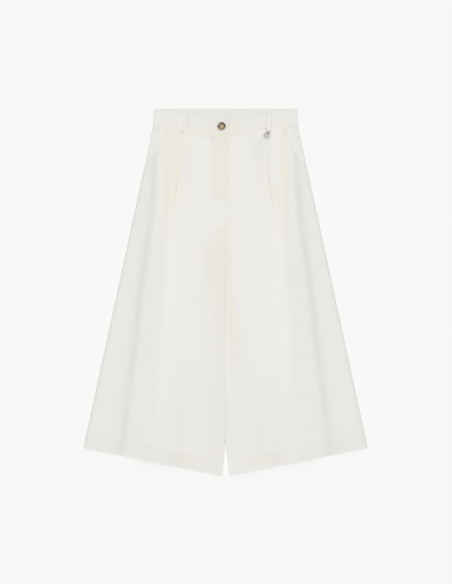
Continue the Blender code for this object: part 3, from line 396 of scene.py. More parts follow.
# ---- outlines ------------------------------------------------------------------------------------
def side_out(y):
    """The side edge, out from the centre line."""
    drop = WAIST_SEAM_Y - y
    band = mix(WAIST_SEAM_OUT, WAIST_OUT, -drop / (TOP_Y - WAIST_SEAM_Y))
    start = FLARE_START * (1 - np.exp(-np.maximum(drop, 0) / FLARE_START))
    return np.where(drop < 0, band, WAIST_SEAM_OUT + FLARE * (drop - start))


def rolled(y):
    """0 where the inner edge is the flat centre seam, 1 where it is the leg's rolled edge."""
    return below(y, CROTCH_Y, CROTCH_REACH)


def lapped(side, y):
    """1 where the left leg's inner edge lies over the right leg, 0 elsewhere."""
    (top, foot), (starts, ends) = LAP_Y, LAP_FADE
    return (side > 0) * below(y, top, starts) * above(y, foot, ends)


def inner_out(side, y, front):
    """The inner edge of a panel's wall middle, out from the centre line."""
    leg_gap = np.maximum(0, (LEG_GAP_Y - y) / (LEG_GAP_Y - HEM_INNER_Y)) ** 0.85
    out = SEAM + (HEM_INNER_OUT - GAP / 2 - SEAM) * leg_gap
    if front:
        out = out + CLOTH / 2 * below(y, CROTCH_Y + INSET_START, INSET_LENGTH)
        if side < 0:
            out = out - (FLY_LAP + GAP / 2) * above(y, FLY_END_Y, FLY_TURN)
    return out


def hem_y(out):
    share = (out - HEM_INNER_OUT) / (side_out(HEM_OUTER_Y) - HEM_INNER_OUT)
    return mix(HEM_INNER_Y, HEM_OUTER_Y, share)


def waist_y(side, out, edge):
    """The waist seam (edge "seam") or the top edge (edge "top") of the front."""
    return read(WAIST_LINE, "out", out, f"{edge}_{'left' if side > 0 else 'right'}")


def mouth_out(y):
    """The pocket mouth, a line from the waist seam to the side seam."""
    share = (WAIST_SEAM_Y - y) / (WAIST_SEAM_Y - MOUTH_END_Y)
    return mix(MOUTH_TOP_OUT, side_out(MOUTH_END_Y), share)


def mouth_y(out):
    """The height up the panel at which the pocket mouth is this far out."""
    share = (out - MOUTH_TOP_OUT) / (side_out(MOUTH_END_Y) - MOUTH_TOP_OUT)
    return mix(WAIST_SEAM_Y, MOUTH_END_Y, share)


# ---- heights -------------------------------------------------------------------------------------
def back_z(y):
    return CLOTH / 2 + BACK_RISE * above(y, BACK_RISE_START, WAIST_SEAM_Y - BACK_RISE_START)


def rim_z(out, y):
    """Where the rolled edge of the front ends, just above the back and its turned-up hem."""
    hem_top = hem_y(out) + HEM_DEPTH + HEM_LIFT_FADE
    lift = (PLY + HAIR) * below(y, hem_top, HEM_LIFT_FADE / 2)
    return back_z(y) + CLOTH / 2 + GAP + HAIR / 2 + lift


def crest_and_groove(y):
    groove = read(STATIONS, "y", y, "groove")
    groove = np.where(y > MOUTH_END_Y, np.minimum(groove, mouth_out(y) - GROOVE_TO_MOUTH), groove)
    return np.minimum(read(STATIONS, "y", y, "crest"), groove - GROOVE_TO_CREST), groove


def smooth_height(side, out, y):
    """The middle of the front's wall above the surface, without pleat, flap or rolled edges."""
    crest, groove = crest_and_groove(y)
    crest_z, groove_z, centre_z, side_z = (
        read(STATIONS, "y", y, name) for name in ("crest_z", "groove_z", "centre_z", "side_z")
    )
    deep_y, deepens = GROOVE_START
    foot_z = groove_z + GROOVE_DEPTH * below(y, deep_y, deepens)
    up = mix(centre_z, crest_z, ease(out / crest) ** 1.5)
    down = mix(crest_z, foot_z, np.clip((out - crest) / (groove - crest), 0, 1))
    height = mix(up, down, ease((out - crest) / (2 * CREST_HALF) + 0.5))
    reach = np.maximum(side_out(y) - ROLL_OUT - groove, 0.001)
    height = np.where(out > groove, mix(foot_z, side_z, above(out, groove, reach)), height)
    return height - (foot_z - groove_z) * bell(out - groove, GROOVE_HALF)


def flap_lift(side, out, y):
    """The flap of the right front steps up over the left front."""
    if side > 0:
        return 0.0
    start, end = FLY_LIFT_OUT
    return FLY_LIFT * below(out, end, end - start) * above(y, FLY_STEP_Y, FLY_TURN)


def fold_line(side, y):
    """The pleat's fold line, out from the centre."""
    return read(PLEAT, "y", y, "out_left" if side > 0 else "out_right")


def pleat_sizes(y):
    """Turn, length underneath, radius and first column of the pleat's S."""
    turn = np.radians(np.clip(read(PLEAT, "y", y, "turn"), 2, 180))
    radius = PLEAT_RADIUS * np.pi / turn
    return turn, read(PLEAT, "y", y, "depth"), radius, -radius * np.sin(np.minimum(turn, np.pi / 2))


def pleat_point(part, t, y):
    """(out from the fold line, distance down) of a point of the pleat's S."""
    turn, depth, radius, first = pleat_sizes(y)
    if part == "before":
        return first - PLEAT_LEAD, 0 * y
    if part == "fold":
        return first + radius * np.sin(turn * t), radius * (1 - np.cos(turn * t))
    out = first + radius * np.sin(turn) + depth * np.cos(turn) * (t if part == "under" else 1)
    down = radius * (1 - np.cos(turn)) + depth * np.sin(turn) * (t if part == "under" else 1)
    if part == "under":
        return out, down
    centre_out, centre_down = out + radius * np.sin(turn), down - radius * np.cos(turn)
    if part == "return":
        return centre_out - radius * np.sin(turn * t), centre_down + radius * np.cos(turn * t)
    after = mix(centre_out, np.maximum(centre_out, 0) + PLEAT_LEAD, t)
    return after, centre_down + radius


def front_height(side, out, y):
    """The middle of the front's wall, with the flap's step and the drop outside the pleat."""
    end_out, drop = pleat_point("after", 1, y)
    beyond = (out - end_out - fold_line(side, y)) / read(PLEAT, "y", y, "rise")
    height = smooth_height(side, out, y) + flap_lift(side, out, y)
    return height - np.where(beyond >= 0, drop * (1 - ease(beyond)), 0.0)


# ---- creases -------------------------------------------------------------------------------------
def crease_strength(crease, out, y):
    """How strong a crease is at one place, from 0 to 1."""
    share = (crease.top_y - y) / (crease.top_y - crease.foot_y)
    t = np.clip(share, 0, 1)
    bend = 2 * crease.middle_out - (crease.top_out + crease.foot_out) / 2
    line = (1 - t) ** 2 * crease.top_out + 2 * t * (1 - t) * bend + t**2 * crease.foot_out
    length = crease.top_y - crease.foot_y
    ends = ease(share * length / CREASE_FADE) * ease((1 - share) * length / CREASE_FADE + 0.4)
    widening = 0.8 + 0.5 * t  # a hanging crease opens towards its foot
    return ends * bell(out - line, crease.half_width * widening)


def crease_rise(creases, side, out, y):
    total = 0 * y
    for crease in creases:
        if crease.side == side:
            total = total + crease.rise * crease_strength(crease, out, y)
    return total


def unevenness(x, y):
    """The slow waves that cloth smoothed by hand keeps, about a quarter of a millimetre high."""
    return 0.00012 * (
        np.sin(x * 61 + 3 * np.sin(y * 7 + 0.4)) * np.sin(y * 9.3 + 1.1)
        + 0.7 * np.sin(x * 113 - y * 14 + 2.2) * np.sin(y * 15.7 - 0.6)
        + 0.5 * np.sin(x * 203 + y * 23) * np.sin(y * 31 + x * 11 + 0.9)
    )


def pressed_crest(out, y):
    """The fold line that is pressed into each leg below its pleat."""
    line = bell(out - crest_and_groove(y)[0], PRESSED_HALF)
    return PRESSED_RISE * line * below(y, *PRESSED_START)


def lay(rows, side):
    """Lays the creases on a piece of the front. What lies lower moves less, down to the back."""
    out, y, z = (rows[..., axis] for axis in range(3))
    rise = crease_rise(CREASES, side, out, y) + pressed_crest(out, y) + unevenness(side * out, y)
    share = np.clip((z - LAY_FROM) / LAY_REACH, 0, 1)
    laid = rows.copy()
    laid[..., 2] = z + rise * share
    return laid


# ---- building grids ------------------------------------------------------------------------------
def panel_shares(length):
    """Shares of the way down a panel: close together at the top edge, then evenly."""
    even = np.linspace(TOP_ROWS[-1] + ROW_STEP / 2, length, round(length / ROW_STEP))
    return np.concatenate([TOP_ROWS, even]) / length


def parts_of_row(*parts):
    """Which columns of a row each part of it takes up."""
    ends = np.cumsum([0, *map(len, parts)])
    return [slice(start, end) for start, end in zip(ends, ends[1:])]


ROLL, CENTRE, S_FOLD, HIP, FALL, SIDE = parts_of_row(
    ROLL_STEPS, CENTRE_STEPS, PLEAT_COLUMNS, HIP_STEPS, FALL_STEPS, [*OUTER_STEPS, *EDGE_STEPS])


def front_points(side, y):
    """(out, z) of the middle of the front's wall; the last axis of y runs over its columns."""
    outs, heights = np.empty_like(y), np.empty_like(y)
    crest, groove = crest_and_groove(y)
    fold = fold_line(side, y)

    def put(part, out, z=None):
        outs[..., part] = out
        heights[..., part] = front_height(side, out, y[..., part]) if z is None else z

    down = y[..., ROLL]
    inner, angle = inner_out(side, down, True), ROLL_STEPS * np.pi / 2
    lap_out, lap_up = np.array(LAP_EDGE).T
    lap = lapped(side, down)
    out = mix(inner + ROLL_IN * (1 - np.cos(angle)), lap_out, lap)
    up = mix(np.sin(angle), lap_up, lap) ** (0.7 if side < 0 else 1)
    roll = mix(rim_z(inner, down), front_height(side, inner + ROLL_IN, down), up)
    put(ROLL, out, mix(front_height(side, out, down), roll, rolled(down)))

    down = y[..., CENTRE]
    before = fold[..., CENTRE] + pleat_point("before", 0, down)[0]
    put(CENTRE, mix(inner_out(side, down, True) + ROLL_IN, before, CENTRE_STEPS))
    for column, (part, t) in enumerate(PLEAT_COLUMNS, S_FOLD.start):
        beside, under = pleat_point(part, t, y[..., column])
        out = fold[..., column] + beside
        put(column, out, smooth_height(side, out, y[..., column]) - under)
    after = fold[..., HIP] + pleat_point("after", 1, y[..., HIP])[0]
    put(HIP, mix(after, crest[..., HIP], HIP_STEPS))
    put(FALL, mix(crest[..., FALL], groove[..., FALL], FALL_STEPS))

    y, groove = y[..., SIDE], groove[..., SIDE]
    edge = side_out(y) - CLOTH / 2
    flat = edge - ROLL_OUT - groove
    side_top = front_height(side, edge - ROLL_OUT, y)
    arc = np.pi / 2 * np.hypot(ROLL_OUT, side_top - rim_z(edge, y)) / np.sqrt(2)
    short = side_out(y) - mouth_out(y)
    cut = arc * np.minimum(1, short / ROLL_OUT) + np.maximum(0, short - ROLL_OUT)
    limit = flat + arc - np.where(y > MOUTH_END_Y, cut, 0)
    flat_end = np.minimum(flat, EDGE_START * limit)
    split = len(OUTER_STEPS)
    length = np.concatenate([
        OUTER_STEPS * flat_end[..., :split],
        mix(flat_end[..., split:], limit[..., split:], EDGE_STEPS),
    ], axis=-1)
    angle = np.clip((length - flat) / arc, 0, 1) * np.pi / 2
    on_flat = length <= flat
    out = np.where(on_flat, groove + length, edge - ROLL_OUT * (1 - np.sin(angle)))
    arc_z = mix(rim_z(edge, y), side_top, np.cos(angle))
    outs[..., SIDE] = out
    heights[..., SIDE] = np.where(on_flat, front_height(side, out, y), arc_z)
    return outs, heights


@lru_cache(maxsize=None)
def front_ends(side):
    """Where each column of the front starts, at the waist seam, and ends, at the hem's fold."""
    top, foot = np.full(SIDE.stop, WAIST_SEAM_Y), np.full(SIDE.stop, HEM_OUTER_Y)
    for _ in range(4):
        top = waist_y(side, front_points(side, top)[0], "seam") - SEAM
        foot = hem_y(front_points(side, foot)[0]) + HEM_FOLD + CLOTH / 2
    return top, foot


def front_rows(side, shares):
    """Rows of the front's points (out, y, z) at these shares of the way from waist to hem."""
    top, foot = front_ends(side)
    y = mix(top, foot, np.asarray(shares)[:, None])
    out, z = front_points(side, y)
    return np.stack([out, y, z], axis=-1)


def back_rows(side, shares, across):
    """Rows of the back's points, flat on the surface but for the creases."""
    shares = np.asarray(shares)[:, None]
    out_at_hem = mix(HEM_INNER_OUT, side_out(HEM_OUTER_Y), across)
    y = mix(WAIST_SEAM_Y - GAP / 2, hem_y(out_at_hem) + HEM_FOLD + CLOTH / 2, shares)
    inner = inner_out(1, y, False)
    out = mix(inner, side_out(y), across)
    clear = ease((out - inner - 0.012) / 0.020) * ease((side_out(y) - out - 0.014) / 0.020)
    open_leg = below(y, 0.176, 0.030) * ease((y - hem_y(out) - HEM_DEPTH - 0.008) / 0.030)
    rise = crease_rise(BACK_CREASES, side, out, y) * clear * open_leg
    return np.stack([out, y, back_z(y) + rise], axis=-1)


def normals_of(rows):
    """The upward normal at each point of a grid of points."""
    down, across = np.gradient(rows, axis=0), np.gradient(rows, axis=1)
    normal = np.cross(down, across)
    return normal / np.linalg.norm(normal, axis=-1, keepdims=True)


def with_hem(rows, allowance, inward):
    """Adds the hem's fold and its turned-in allowance, (points, normals), to a panel's rows."""
    along = rows[-1] - rows[-2]
    along /= np.linalg.norm(along, axis=-1, keepdims=True)
    normal = normals_of(rows[-3:])[-1] * inward * HEM_FOLD
    added = [
        rows[-1] + along * HEM_FOLD * math.sin(turn) + normal * (1 - math.cos(turn))
        for turn in (math.radians(angle) for angle in (25, 50, 75, 105, 130, 155))
    ]
    for points, normals in allowance:
        line = points + normals * inward * 2 * HEM_FOLD
        for end in (0, -1):
            line[end, 2] = max(line[end, 2], points[end, 2])
        added.append(line)
    return np.concatenate([rows, np.stack(added)])


def hem_depths():
    return np.linspace(0, HEM_DEPTH, 8)


def front_panel(side):
    """The whole front panel: waist seam, pleat, pocket edge, rolled sides and turned-up hem."""
    length = front_ends(side)[0].mean() - front_ends(side)[1].mean()
    rows = front_rows(side, panel_shares(length))
    inner = []
    for depth in hem_depths():
        share = 1 - depth / length
        pair = front_rows(side, (share - HEM_STEP, share))
        inner.append((pair[1], normals_of(pair)[1]))
    return with_hem(rows, inner, -1)


def back_panel(side):
    across = np.concatenate([[0, 0.004, 0.012], np.linspace(0.03, 0.97, 44), [0.988, 0.996, 1]])
    length = WAIST_SEAM_Y - HEM_OUTER_Y
    rows = back_rows(side, panel_shares(length)[::2], across)
    up = np.zeros_like(rows[0]) + (0, 0, 1)
    inner = [(back_rows(side, [1 - depth / length], across)[0], up) for depth in hem_depths()]
    return with_hem(rows, inner, 1)


# ---- pockets -------------------------------------------------------------------------------------
def lining_ply(y):
    """From layer to layer inside the pocket: closer at the waist, where they are sewn."""
    return mix(LINING_PLY, PLY, above(y, BACK_RISE_START, POCKET_SETTLE))


def room_under(side, out, y):
    """The front's height where the pocket runs below it: the least of its heights nearby."""
    room = front_height(side, out, y)
    for d in NEARBY:
        near = np.where(out + d < side_out(y), front_height(side, out + d, y), room)
        room = np.minimum(room, near)
    return room


def yoke_under(side, out, y):
    """The yoke's height below the bag, kept above the back."""
    low = room_under(side, out, y) - 2 * lining_ply(y)
    return np.maximum(low, back_z(y) + CLOTH + GAP + HAIR)


def pocket_inner(side, y):
    clear = BAG_WAIST_CLEAR * above(y, BACK_RISE_START, POCKET_SETTLE)
    return fold_line(side, y) + BAG_BESIDE_PLEAT + clear


YOKE_COLUMNS = np.linspace(0, 1, 13)
MOUTH_COLUMNS = 12
YOKE_ROLL = np.linspace(1.2, 0, 9)


def yoke_outs(side, y):
    """Columns of the hip yoke: up to the mouth, across it, and round the side edge."""
    edge = side_out(y) - CLOTH / 2
    edge = edge - BAG_INSET * below(y, MOUTH_END_Y + BAG_INSET_START, BAG_INSET_LENGTH)
    near, _, far = (np.minimum(mouth_out(y) + d, edge - room) for d, room in YOKE_MOUTH)
    inner = pocket_inner(side, y)
    return np.stack(
        [mix(inner, near, t) for t in YOKE_COLUMNS]
        + [mix(near, far, t) for t in np.linspace(0, 1, MOUTH_COLUMNS + 1)[1:]]
        + [edge - ROLL_OUT * d for d in YOKE_ROLL],
        axis=-1,
    )


def bag_outs(side, y):
    """Columns of the bag's own layer: with the yoke's, but it stops inside the mouth."""
    outs = yoke_outs(side, y)
    drop, length = BAG_OPENS
    closed = below(y, MOUTH_END_Y - drop, length)
    last = outs[..., len(YOKE_COLUMNS) - 1]
    near = mix(last + BAG_EDGE[0], outs[..., len(YOKE_COLUMNS) + MOUTH_COLUMNS - 1], closed)
    far = mix(last + BAG_EDGE[1], outs[..., -1], closed)
    ends = [mix(near, far, t) for t in np.linspace(0, 1, 9)]
    return np.concatenate([outs[..., :len(YOKE_COLUMNS)], np.stack(ends, axis=-1)], axis=-1)


def own_columns(side, outs_at, y):
    """Each column's own distance out, where each column has its own y."""
    found = outs_at(side, y)
    return np.diagonal(found, axis1=-2, axis2=-1)


def pocket_rows(side, outs_at):
    """Distances out and y of a pocket layer's grid, from the waist seam to its rounded foot."""
    count = outs_at(side, np.array(WAIST_SEAM_Y)).shape[-1]
    top = np.full(count, WAIST_SEAM_Y)
    for _ in range(4):
        top = waist_y(side, own_columns(side, outs_at, top), "seam") - SEAM
    foot = outs_at(side, np.array(BAG_FOOT_Y))
    across = (foot - foot[0]) / (foot[-1] - foot[0])
    bottom = BAG_END_Y + BAG_CORNER * np.abs(2 * across - 1) ** 4
    y = mix(top, bottom, np.linspace(0, 1, 40)[:, None])
    return own_columns(side, outs_at, y), y


def yoke_panel(side):
    """The hip yoke: it shows in the pocket's mouth and is the under side of the pocket."""
    out, y = pocket_rows(side, yoke_outs)
    beyond = out - mouth_out(y)
    ply = mix(lining_ply(y), YOKE_LEVEL, ease(beyond / YOKE_STEP))
    level = front_height(side, out, y) - ply
    height = mix(yoke_under(side, out, y), level, ease((beyond + YOKE_RISE) / YOKE_RISE))
    roll = np.maximum(0, out - (side_out(y) - CLOTH / 2 - ROLL_OUT)) / ROLL_OUT
    rim = rim_z(out, y) + GAP
    z = mix(rim, np.maximum(height, rim), np.sqrt(np.maximum(0, 1 - roll**2)))
    return np.stack([out, y, z], axis=-1)


def bag_panel(side):
    """The pocket bag's own layer, between the front and the yoke."""
    out, y = pocket_rows(side, bag_outs)
    y = y - BAG_WAIST_SHORT * (np.arange(len(y)) == 0)[:, None]
    out = own_columns(side, bag_outs, y)
    low = yoke_under(side, out, y) + PLY
    return np.stack([out, y, np.maximum(room_under(side, out, y) - lining_ply(y), low)], axis=-1)


# ---- waistband, loops and fly --------------------------------------------------------------------
def band_z(side, out):
    start, end = BAND_STEP_OUT
    lift = BAND_LIFT * below(out, end, end - start) if side < 0 else 0.0
    return BAND_Z + lift


def slit_lip(out):
    """How far the buttonhole's lips are from its middle."""
    return SLIT_HALF + SLIT_SPREAD * bell(out + BUTTON_AT[0], SLIT_SPREAD_HALF)


def band_y(side, out):
    """Rows of a front waistband from its foot up, two of them along the buttonhole's lips."""
    foot, top = waist_y(side, out, "seam") + SEAM, waist_y(side, out, "top")
    middle, lip = mix(foot, top, SLIT_SHARE), slit_lip(out)
    to_slit, slit, to_top = BAND_ROWS
    return foot + to_slit * (middle - lip - foot) + slit * 2 * lip + to_top * (top - middle - lip)


def front_band(side):
    """A front waistband from its foot up; past its roll it is drawn round to the back's edge."""
    share = mix(BAND_ROWS[0] * SLIT_SHARE, 1, BAND_ROWS[2])
    if side > 0:
        flat = [np.full_like(share, o) for o in np.arange(-BAND_UNDERLAP, BAND_FLAT, BAND_STEP)]
    else:
        start = -mix(*BAND_LAP, np.minimum(1, share * LAP_TAPER))
        outs = [*np.linspace(*SLIT_OUT, 11), *np.arange(0.0245, BAND_FLAT, BAND_STEP)]
        flat = [start, start * 0.5] + [np.full_like(share, o) for o in outs]
    edge = side_out(mix(WAIST_SEAM_Y, TOP_Y, share)) - CLOTH / 2
    turns = np.radians(np.arange(0, 91, 11.25))
    out = np.concatenate(flat + [edge - BAND_ROLL * (1 - np.sin(turns))], axis=-1)
    y = band_y(side, out)
    z = band_z(side, out) + 0 * out
    rim = BACK_BAND_Z + BAND / 2 + GAP + HAIR
    z[:, -len(turns):] = mix(rim, z[:, -len(turns):], np.cos(turns))
    return np.stack([out, y, z], axis=-1)[::-1]


def back_band():
    across = np.concatenate([[0, 0.004, 0.012], np.linspace(0.03, 1, 34)])
    y = np.concatenate([[TOP_Y, TOP_Y - 0.0005, TOP_Y - 0.0012],
                        np.linspace(TOP_Y - 0.0035, WAIST_SEAM_Y + GAP / 2, 9)])[:, None]
    out = mix(SEAM, side_out(y), across)
    return np.stack([out, y + 0 * out, BACK_BAND_Z + 0 * out], axis=-1)


def loop_rows(loop):
    """A belt loop: one in front stands clear of the band, one behind is pressed flat."""
    across = np.linspace(-LOOP_WIDTH / 2, LOOP_WIDTH / 2, 7)
    share = np.linspace(0, 1, 29)[:, None]
    out = mix(loop.top_out, loop.foot_out, share) + across
    if not loop.front:
        y = mix(TOP_Y - LOOP_SHORT, WAIST_SEAM_Y - loop.below, share) + 0 * out
        return np.stack([out, y, 0 * out + LOOP_WALL / 2], axis=-1)
    ends = loop.foot_out + across
    seams = waist_y(loop.side, ends, "seam")
    start_y = waist_y(loop.side, loop.top_out, "top") + LOOP_OVER
    end_y = waist_y(loop.side, loop.foot_out, "seam") - loop.below
    on_leg = (smooth_height(loop.side, ends, np.full_like(ends, end_y))
              + flap_lift(loop.side, ends, end_y)).max() + CLOTH / 2
    y = mix(start_y, end_y, share) + 0 * out
    on_band = band_z(loop.side, out - across) + BAND / 2
    z = mix(on_band, on_leg, ease((seams.max() - y) / LOOP_STEP + 1)) + GAP + LOOP_WALL / 2
    z = z + LOOP_ARCH * np.sin(np.pi * share) ** 2
    return np.stack([out, y, z], axis=-1)


def facing_rows():
    t = np.linspace(0, 1, 12)
    out = mix(*FACING_OUT, t)
    top = waist_y(-1, out, "seam") - FACING_SHORT
    y = mix(top, FACING_END_Y + FACING_CURVE * t**3, np.linspace(0, 1, 40)[:, None])
    out = out + 0 * y
    return np.stack([out, y, front_height(-1, out, y) - PLY - HAIR], axis=-1)


def strip_rows(outs, ends, lift):
    """A straight strip whose middle runs this far above the middle of the back's wall."""
    y = np.linspace(*ends, 30)[:, None]
    out = np.linspace(*outs, 9) + 0 * y
    return np.stack([out, y + 0 * out, back_z(y) + lift + 0 * out], axis=-1)


# ---- meshes --------------------------------------------------------------------------------------
def link(obj):
    bpy.context.scene.collection.objects.link(obj)
    return obj


def finished(name, work):
    """The mesh of what was worked on."""
    mesh = bpy.data.meshes.new(name)
    work.to_mesh(mesh)
    work.free()
    return mesh


def applied(obj):
    """An object with its modifiers worked into a mesh of its own."""
    bpy.context.view_layer.update()
    mesh = bpy.data.meshes.new_from_object(obj.evaluated_get(bpy.context.evaluated_depsgraph_get()))
    made = bpy.data.objects.new(obj.name, mesh)
    made.matrix_world = obj.matrix_world.copy()
    name = obj.name
    bpy.data.objects.remove(obj)
    made.name = name
    mesh.name = name
    return link(made)


def coordinates(mesh):
    flat = np.empty(len(mesh.vertices) * 3)
    mesh.vertices.foreach_get("co", flat)
    return flat.reshape(-1, 3)


def rounded(obj, width, segments, angle):
    """An object with the edges rounded that turn by more than this many degrees."""
    edge = obj.modifiers.new("edge", "BEVEL")
    edge.width = width
    edge.segments = segments
    edge.limit_method = "ANGLE"
    edge.angle_limit = math.radians(angle)
    obj = applied(obj)
    obj.data.shade_smooth()
    return obj


def finished_piece(obj, name, material, body, replaces=()):
    """Gives a piece its name, material, body and slot, and hides the nodes that it stands for."""
    obj.name = name
    obj.data.materials.clear()
    obj.data.materials.append(material)
    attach(obj, body)
    if replaces:
        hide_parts(*replaces)
    return obj


def sheet_mesh(name, rows, side, hole=None):
    """A grid of points as a mesh that faces up; `hole` is the box of the faces left out."""
    down, across = rows.shape[:2]
    work = bmesh.new()
    bmesh.ops.create_grid(work, x_segments=across - 1, y_segments=down - 1, size=1)
    mesh = finished(name, work)
    flat = np.round(coordinates(mesh), 4)
    order = np.lexsort((flat[:, 0], -flat[:, 1]))
    points = np.empty((down * across, 3))
    points[order] = rows.reshape(-1, 3) * (side, 1, 1)
    mesh.vertices.foreach_set("co", points.ravel())
    if side > 0 and hole is None:
        return mesh
    work = bmesh.new()
    work.from_mesh(mesh)
    bpy.data.meshes.remove(mesh)
    if side < 0:
        bmesh.ops.reverse_faces(work, faces=work.faces)
    if hole is not None:
        low, high = hole
        out = [face for face in work.faces
               if all(a < c < b for a, c, b in zip(low, face.calc_center_median(), high))]
        bmesh.ops.delete(work, geom=out, context="FACES")
    return finished(name, work)


def cloth(name, rows, side, wall, material, hole=None, edge_share=0.1):
    """A cloth piece: a grid on the middle of its wall, thickened, with softened raw edges."""
    obj = link(bpy.data.objects.new(name + "_cloth", sheet_mesh(name, rows, side, hole)))
    solid = obj.modifiers.new("wall", "SOLIDIFY")
    solid.thickness = wall
    solid.offset = 0
    solid.use_even_offset = True
    obj = rounded(obj, wall * edge_share, 2, 60)
    return finished_piece(obj, obj.name, material, "garment", [name])


def spots_of(obj, side):
    """(out, y, z) of a mesh's points, as three rows of numbers."""
    return (coordinates(obj.data) * (side, 1, 1)).T


def paint(obj, shade, warmth):
    """Gives a mesh its tones, one number or one for each point, that its material reads: painted
    shade (below 0, painted light) and warmth.
    """
    for name, tone in (("shade", shade), ("warmth", warmth)):
        layer = obj.data.attributes.new(name, "FLOAT", "POINT")
        layer.data.foreach_set("value", np.full(len(obj.data.vertices), tone, np.float32))


# ---- painted shade and light, and where the cloth is warmer --------------------------------------
# Soft streaks of painted shade and light down the front: the leg they are on (0 for both), the
# line they follow and how far out from it they lie, their half width, the heights at which they
# start and end, each with the length over which they fade in there, how much shade they paint
# (below 0, painted light) and how much warmer the cloth looks.
Streak = namedtuple("Streak", "side line out half_width top foot shade warmth")
FROM_WAIST, TO_HEM = (1.0, 0.1), (-1.0, 0.1)
STREAKS = (
    Streak(0, "crest", -0.0170, 0.0160, (0.200, 0.080), TO_HEM, -0.012, 0),
    Streak(0, "side", 0, 0.0090, FROM_WAIST, TO_HEM, 0.026, 0),
    Streak(0, "pressed", 0, 0.0065, FROM_WAIST, (0.110, 0.040), 0, 0.26),
    Streak(0, "pressed", 0, 0.0065, FROM_WAIST, (0.280, 0.050), 0, -0.14),
    Streak(0, "pressed", 0, 0.0065, (0.300, 0.050), (0.110, 0.040), 0.024, 0),
    Streak(0, "mouth", -0.0080, 0.0018, FROM_WAIST, (MOUTH_END_Y, 0.010), 0.012, 0),
    Streak(0, "mouth", -0.0015, 0.0028, FROM_WAIST, (MOUTH_END_Y, 0.010), -0.034, 0),
    # beside the pleat's fold: painted light on its edge and further out, painted shade just outside
    # it
    Streak(0, "fold", 0, 0.0011, FROM_WAIST, (0.200, 0.040), -0.070, 0),
    Streak(1, "fold", 0, 0.0011, FROM_WAIST, (0.250, 0.080), 0.025, 0),
    Streak(-1, "fold", 0, 0.0011, FROM_WAIST, (0.250, 0.080), 0.004, 0),
    Streak(0, "fold", 0.0010, 0.0038, FROM_WAIST, (0.200, 0.040), 0.024, 0),
    Streak(0, "fold", 0.0040, 0.0035, FROM_WAIST, (0.200, 0.040), 0.030, 0),
    Streak(1, "fold", -0.0040, 0.0085, FROM_WAIST, (0.200, 0.040), 0, 0.42),
    Streak(1, "fold", -0.0040, 0.0085, FROM_WAIST, (0.250, 0.080), 0, -0.30),
    Streak(1, "fold", 0.0190, 0.0055, (0.275, 0.020), (0.200, 0.020), -0.040, 0),
    Streak(-1, "fold", 0.0130, 0.0055, (0.275, 0.020), (0.200, 0.020), -0.040, 0),
    # down the legs, by distance out from the centre
    Streak(1, "centre", 0.0940, 0.0130, (0.270, 0.050), (0.190, 0.020), 0, 0.16),
    Streak(1, "centre", 0.0800, 0.0130, (0.372, 0.015), (0.285, 0.050), 0.052, 0),
    Streak(1, "centre", 0.0460, 0.0300, (0.160, 0.040), (-0.170, 0.100), 0, 0.10),
    Streak(1, "centre", 0.0048, 0.0022, (-0.210, 0.040), (LEG_GAP_Y + 0.006, 0.008), 0.036, 0),
    Streak(-1, "centre", 0.0315, 0.0030, FROM_WAIST, (FACING_END_Y + 0.010, 0.030), 0.012, 0),
    Streak(-1, "centre", 0.0315, 0.0030, FROM_WAIST, (0.320, 0.025), 0.018, 0),
)
# Small soft spots of painted shade and light, where the pleat opens and ends.
Spot = namedtuple("Spot", "side line out half_width y half_height shade")
SPOTS = (
    Spot(0, "fold", 0.0065, 0.0040, 0.2120, 0.0130, 0.060),
    Spot(0, "fold", 0.0005, 0.0018, 0.2120, 0.0130, -0.055),
    Spot(0, "fold", 0.0015, 0.0030, 0.1770, 0.0180, -0.030),
    Spot(1, "fold", 0.0010, 0.0016, 0.2060, 0.0095, -0.045),
    Spot(-1, "fold", 0.0006, 0.0016, 0.2060, 0.0095, -0.085),
)
# By side: how much painted light the rolled inner edge gets, by height up the leg; the height of
# the crossed layers' reach; and places out from the centre.
RIM_LIGHT = {
    1: ((-0.260, -0.200, -0.120, -0.080, -0.020), (0.000, 0.035, 0.060, 0.042, -0.018)),
    -1: ((-0.160, -0.060), (0.115, 0.080)),
}
SLIT_LIGHT = 0.125  # and in the open slit between the legs
PRESSED_OUT = {1: 0.141, -1: 0.138}
HEM_SHADE_OUT = {1: 0.128, -1: 0.113}
BAG_OUT = {1: 0.120, -1: 0.103}
FLY_OUT = {1: 0.0040, -1: 0.0350}
CROSSED_REACH = (-0.124, -0.019, 0.097, 0.162), (0.007, 0.042, 0.051, 0.002)


def in_slit(y):
    """1 where the slit between the legs is open."""
    return below(y, LEG_GAP_Y + 0.014, 0.008)


def streak_tones(side, out, y):
    """(painted shade, warmth) of the streaks, spots and creases of a front."""
    lines = {"centre": 0.0, "pressed": PRESSED_OUT[side], "crest": crest_and_groove(y)[0],
             "fold": fold_line(side, y), "mouth": mouth_out(y), "side": side_out(y)}
    shade, warmth = 0 * y, 0 * y
    for row in STREAKS:
        if row.side in (0, side):
            strength = bell(out - lines[row.line] - row.out, row.half_width)
            strength *= below(y, *row.top) * above(y, *row.foot)
            shade += row.shade * strength
            warmth += row.warmth * strength
    for row in SPOTS:
        if row.side in (0, side):
            beside = out - lines[row.line] - row.out
            shade += row.shade * bell(beside, row.half_width) * bell(y - row.y, row.half_height)
    for crease in CREASES:
        if crease.side == side:
            shade += crease.shade * crease_strength(crease, out, y)
    return shade, warmth


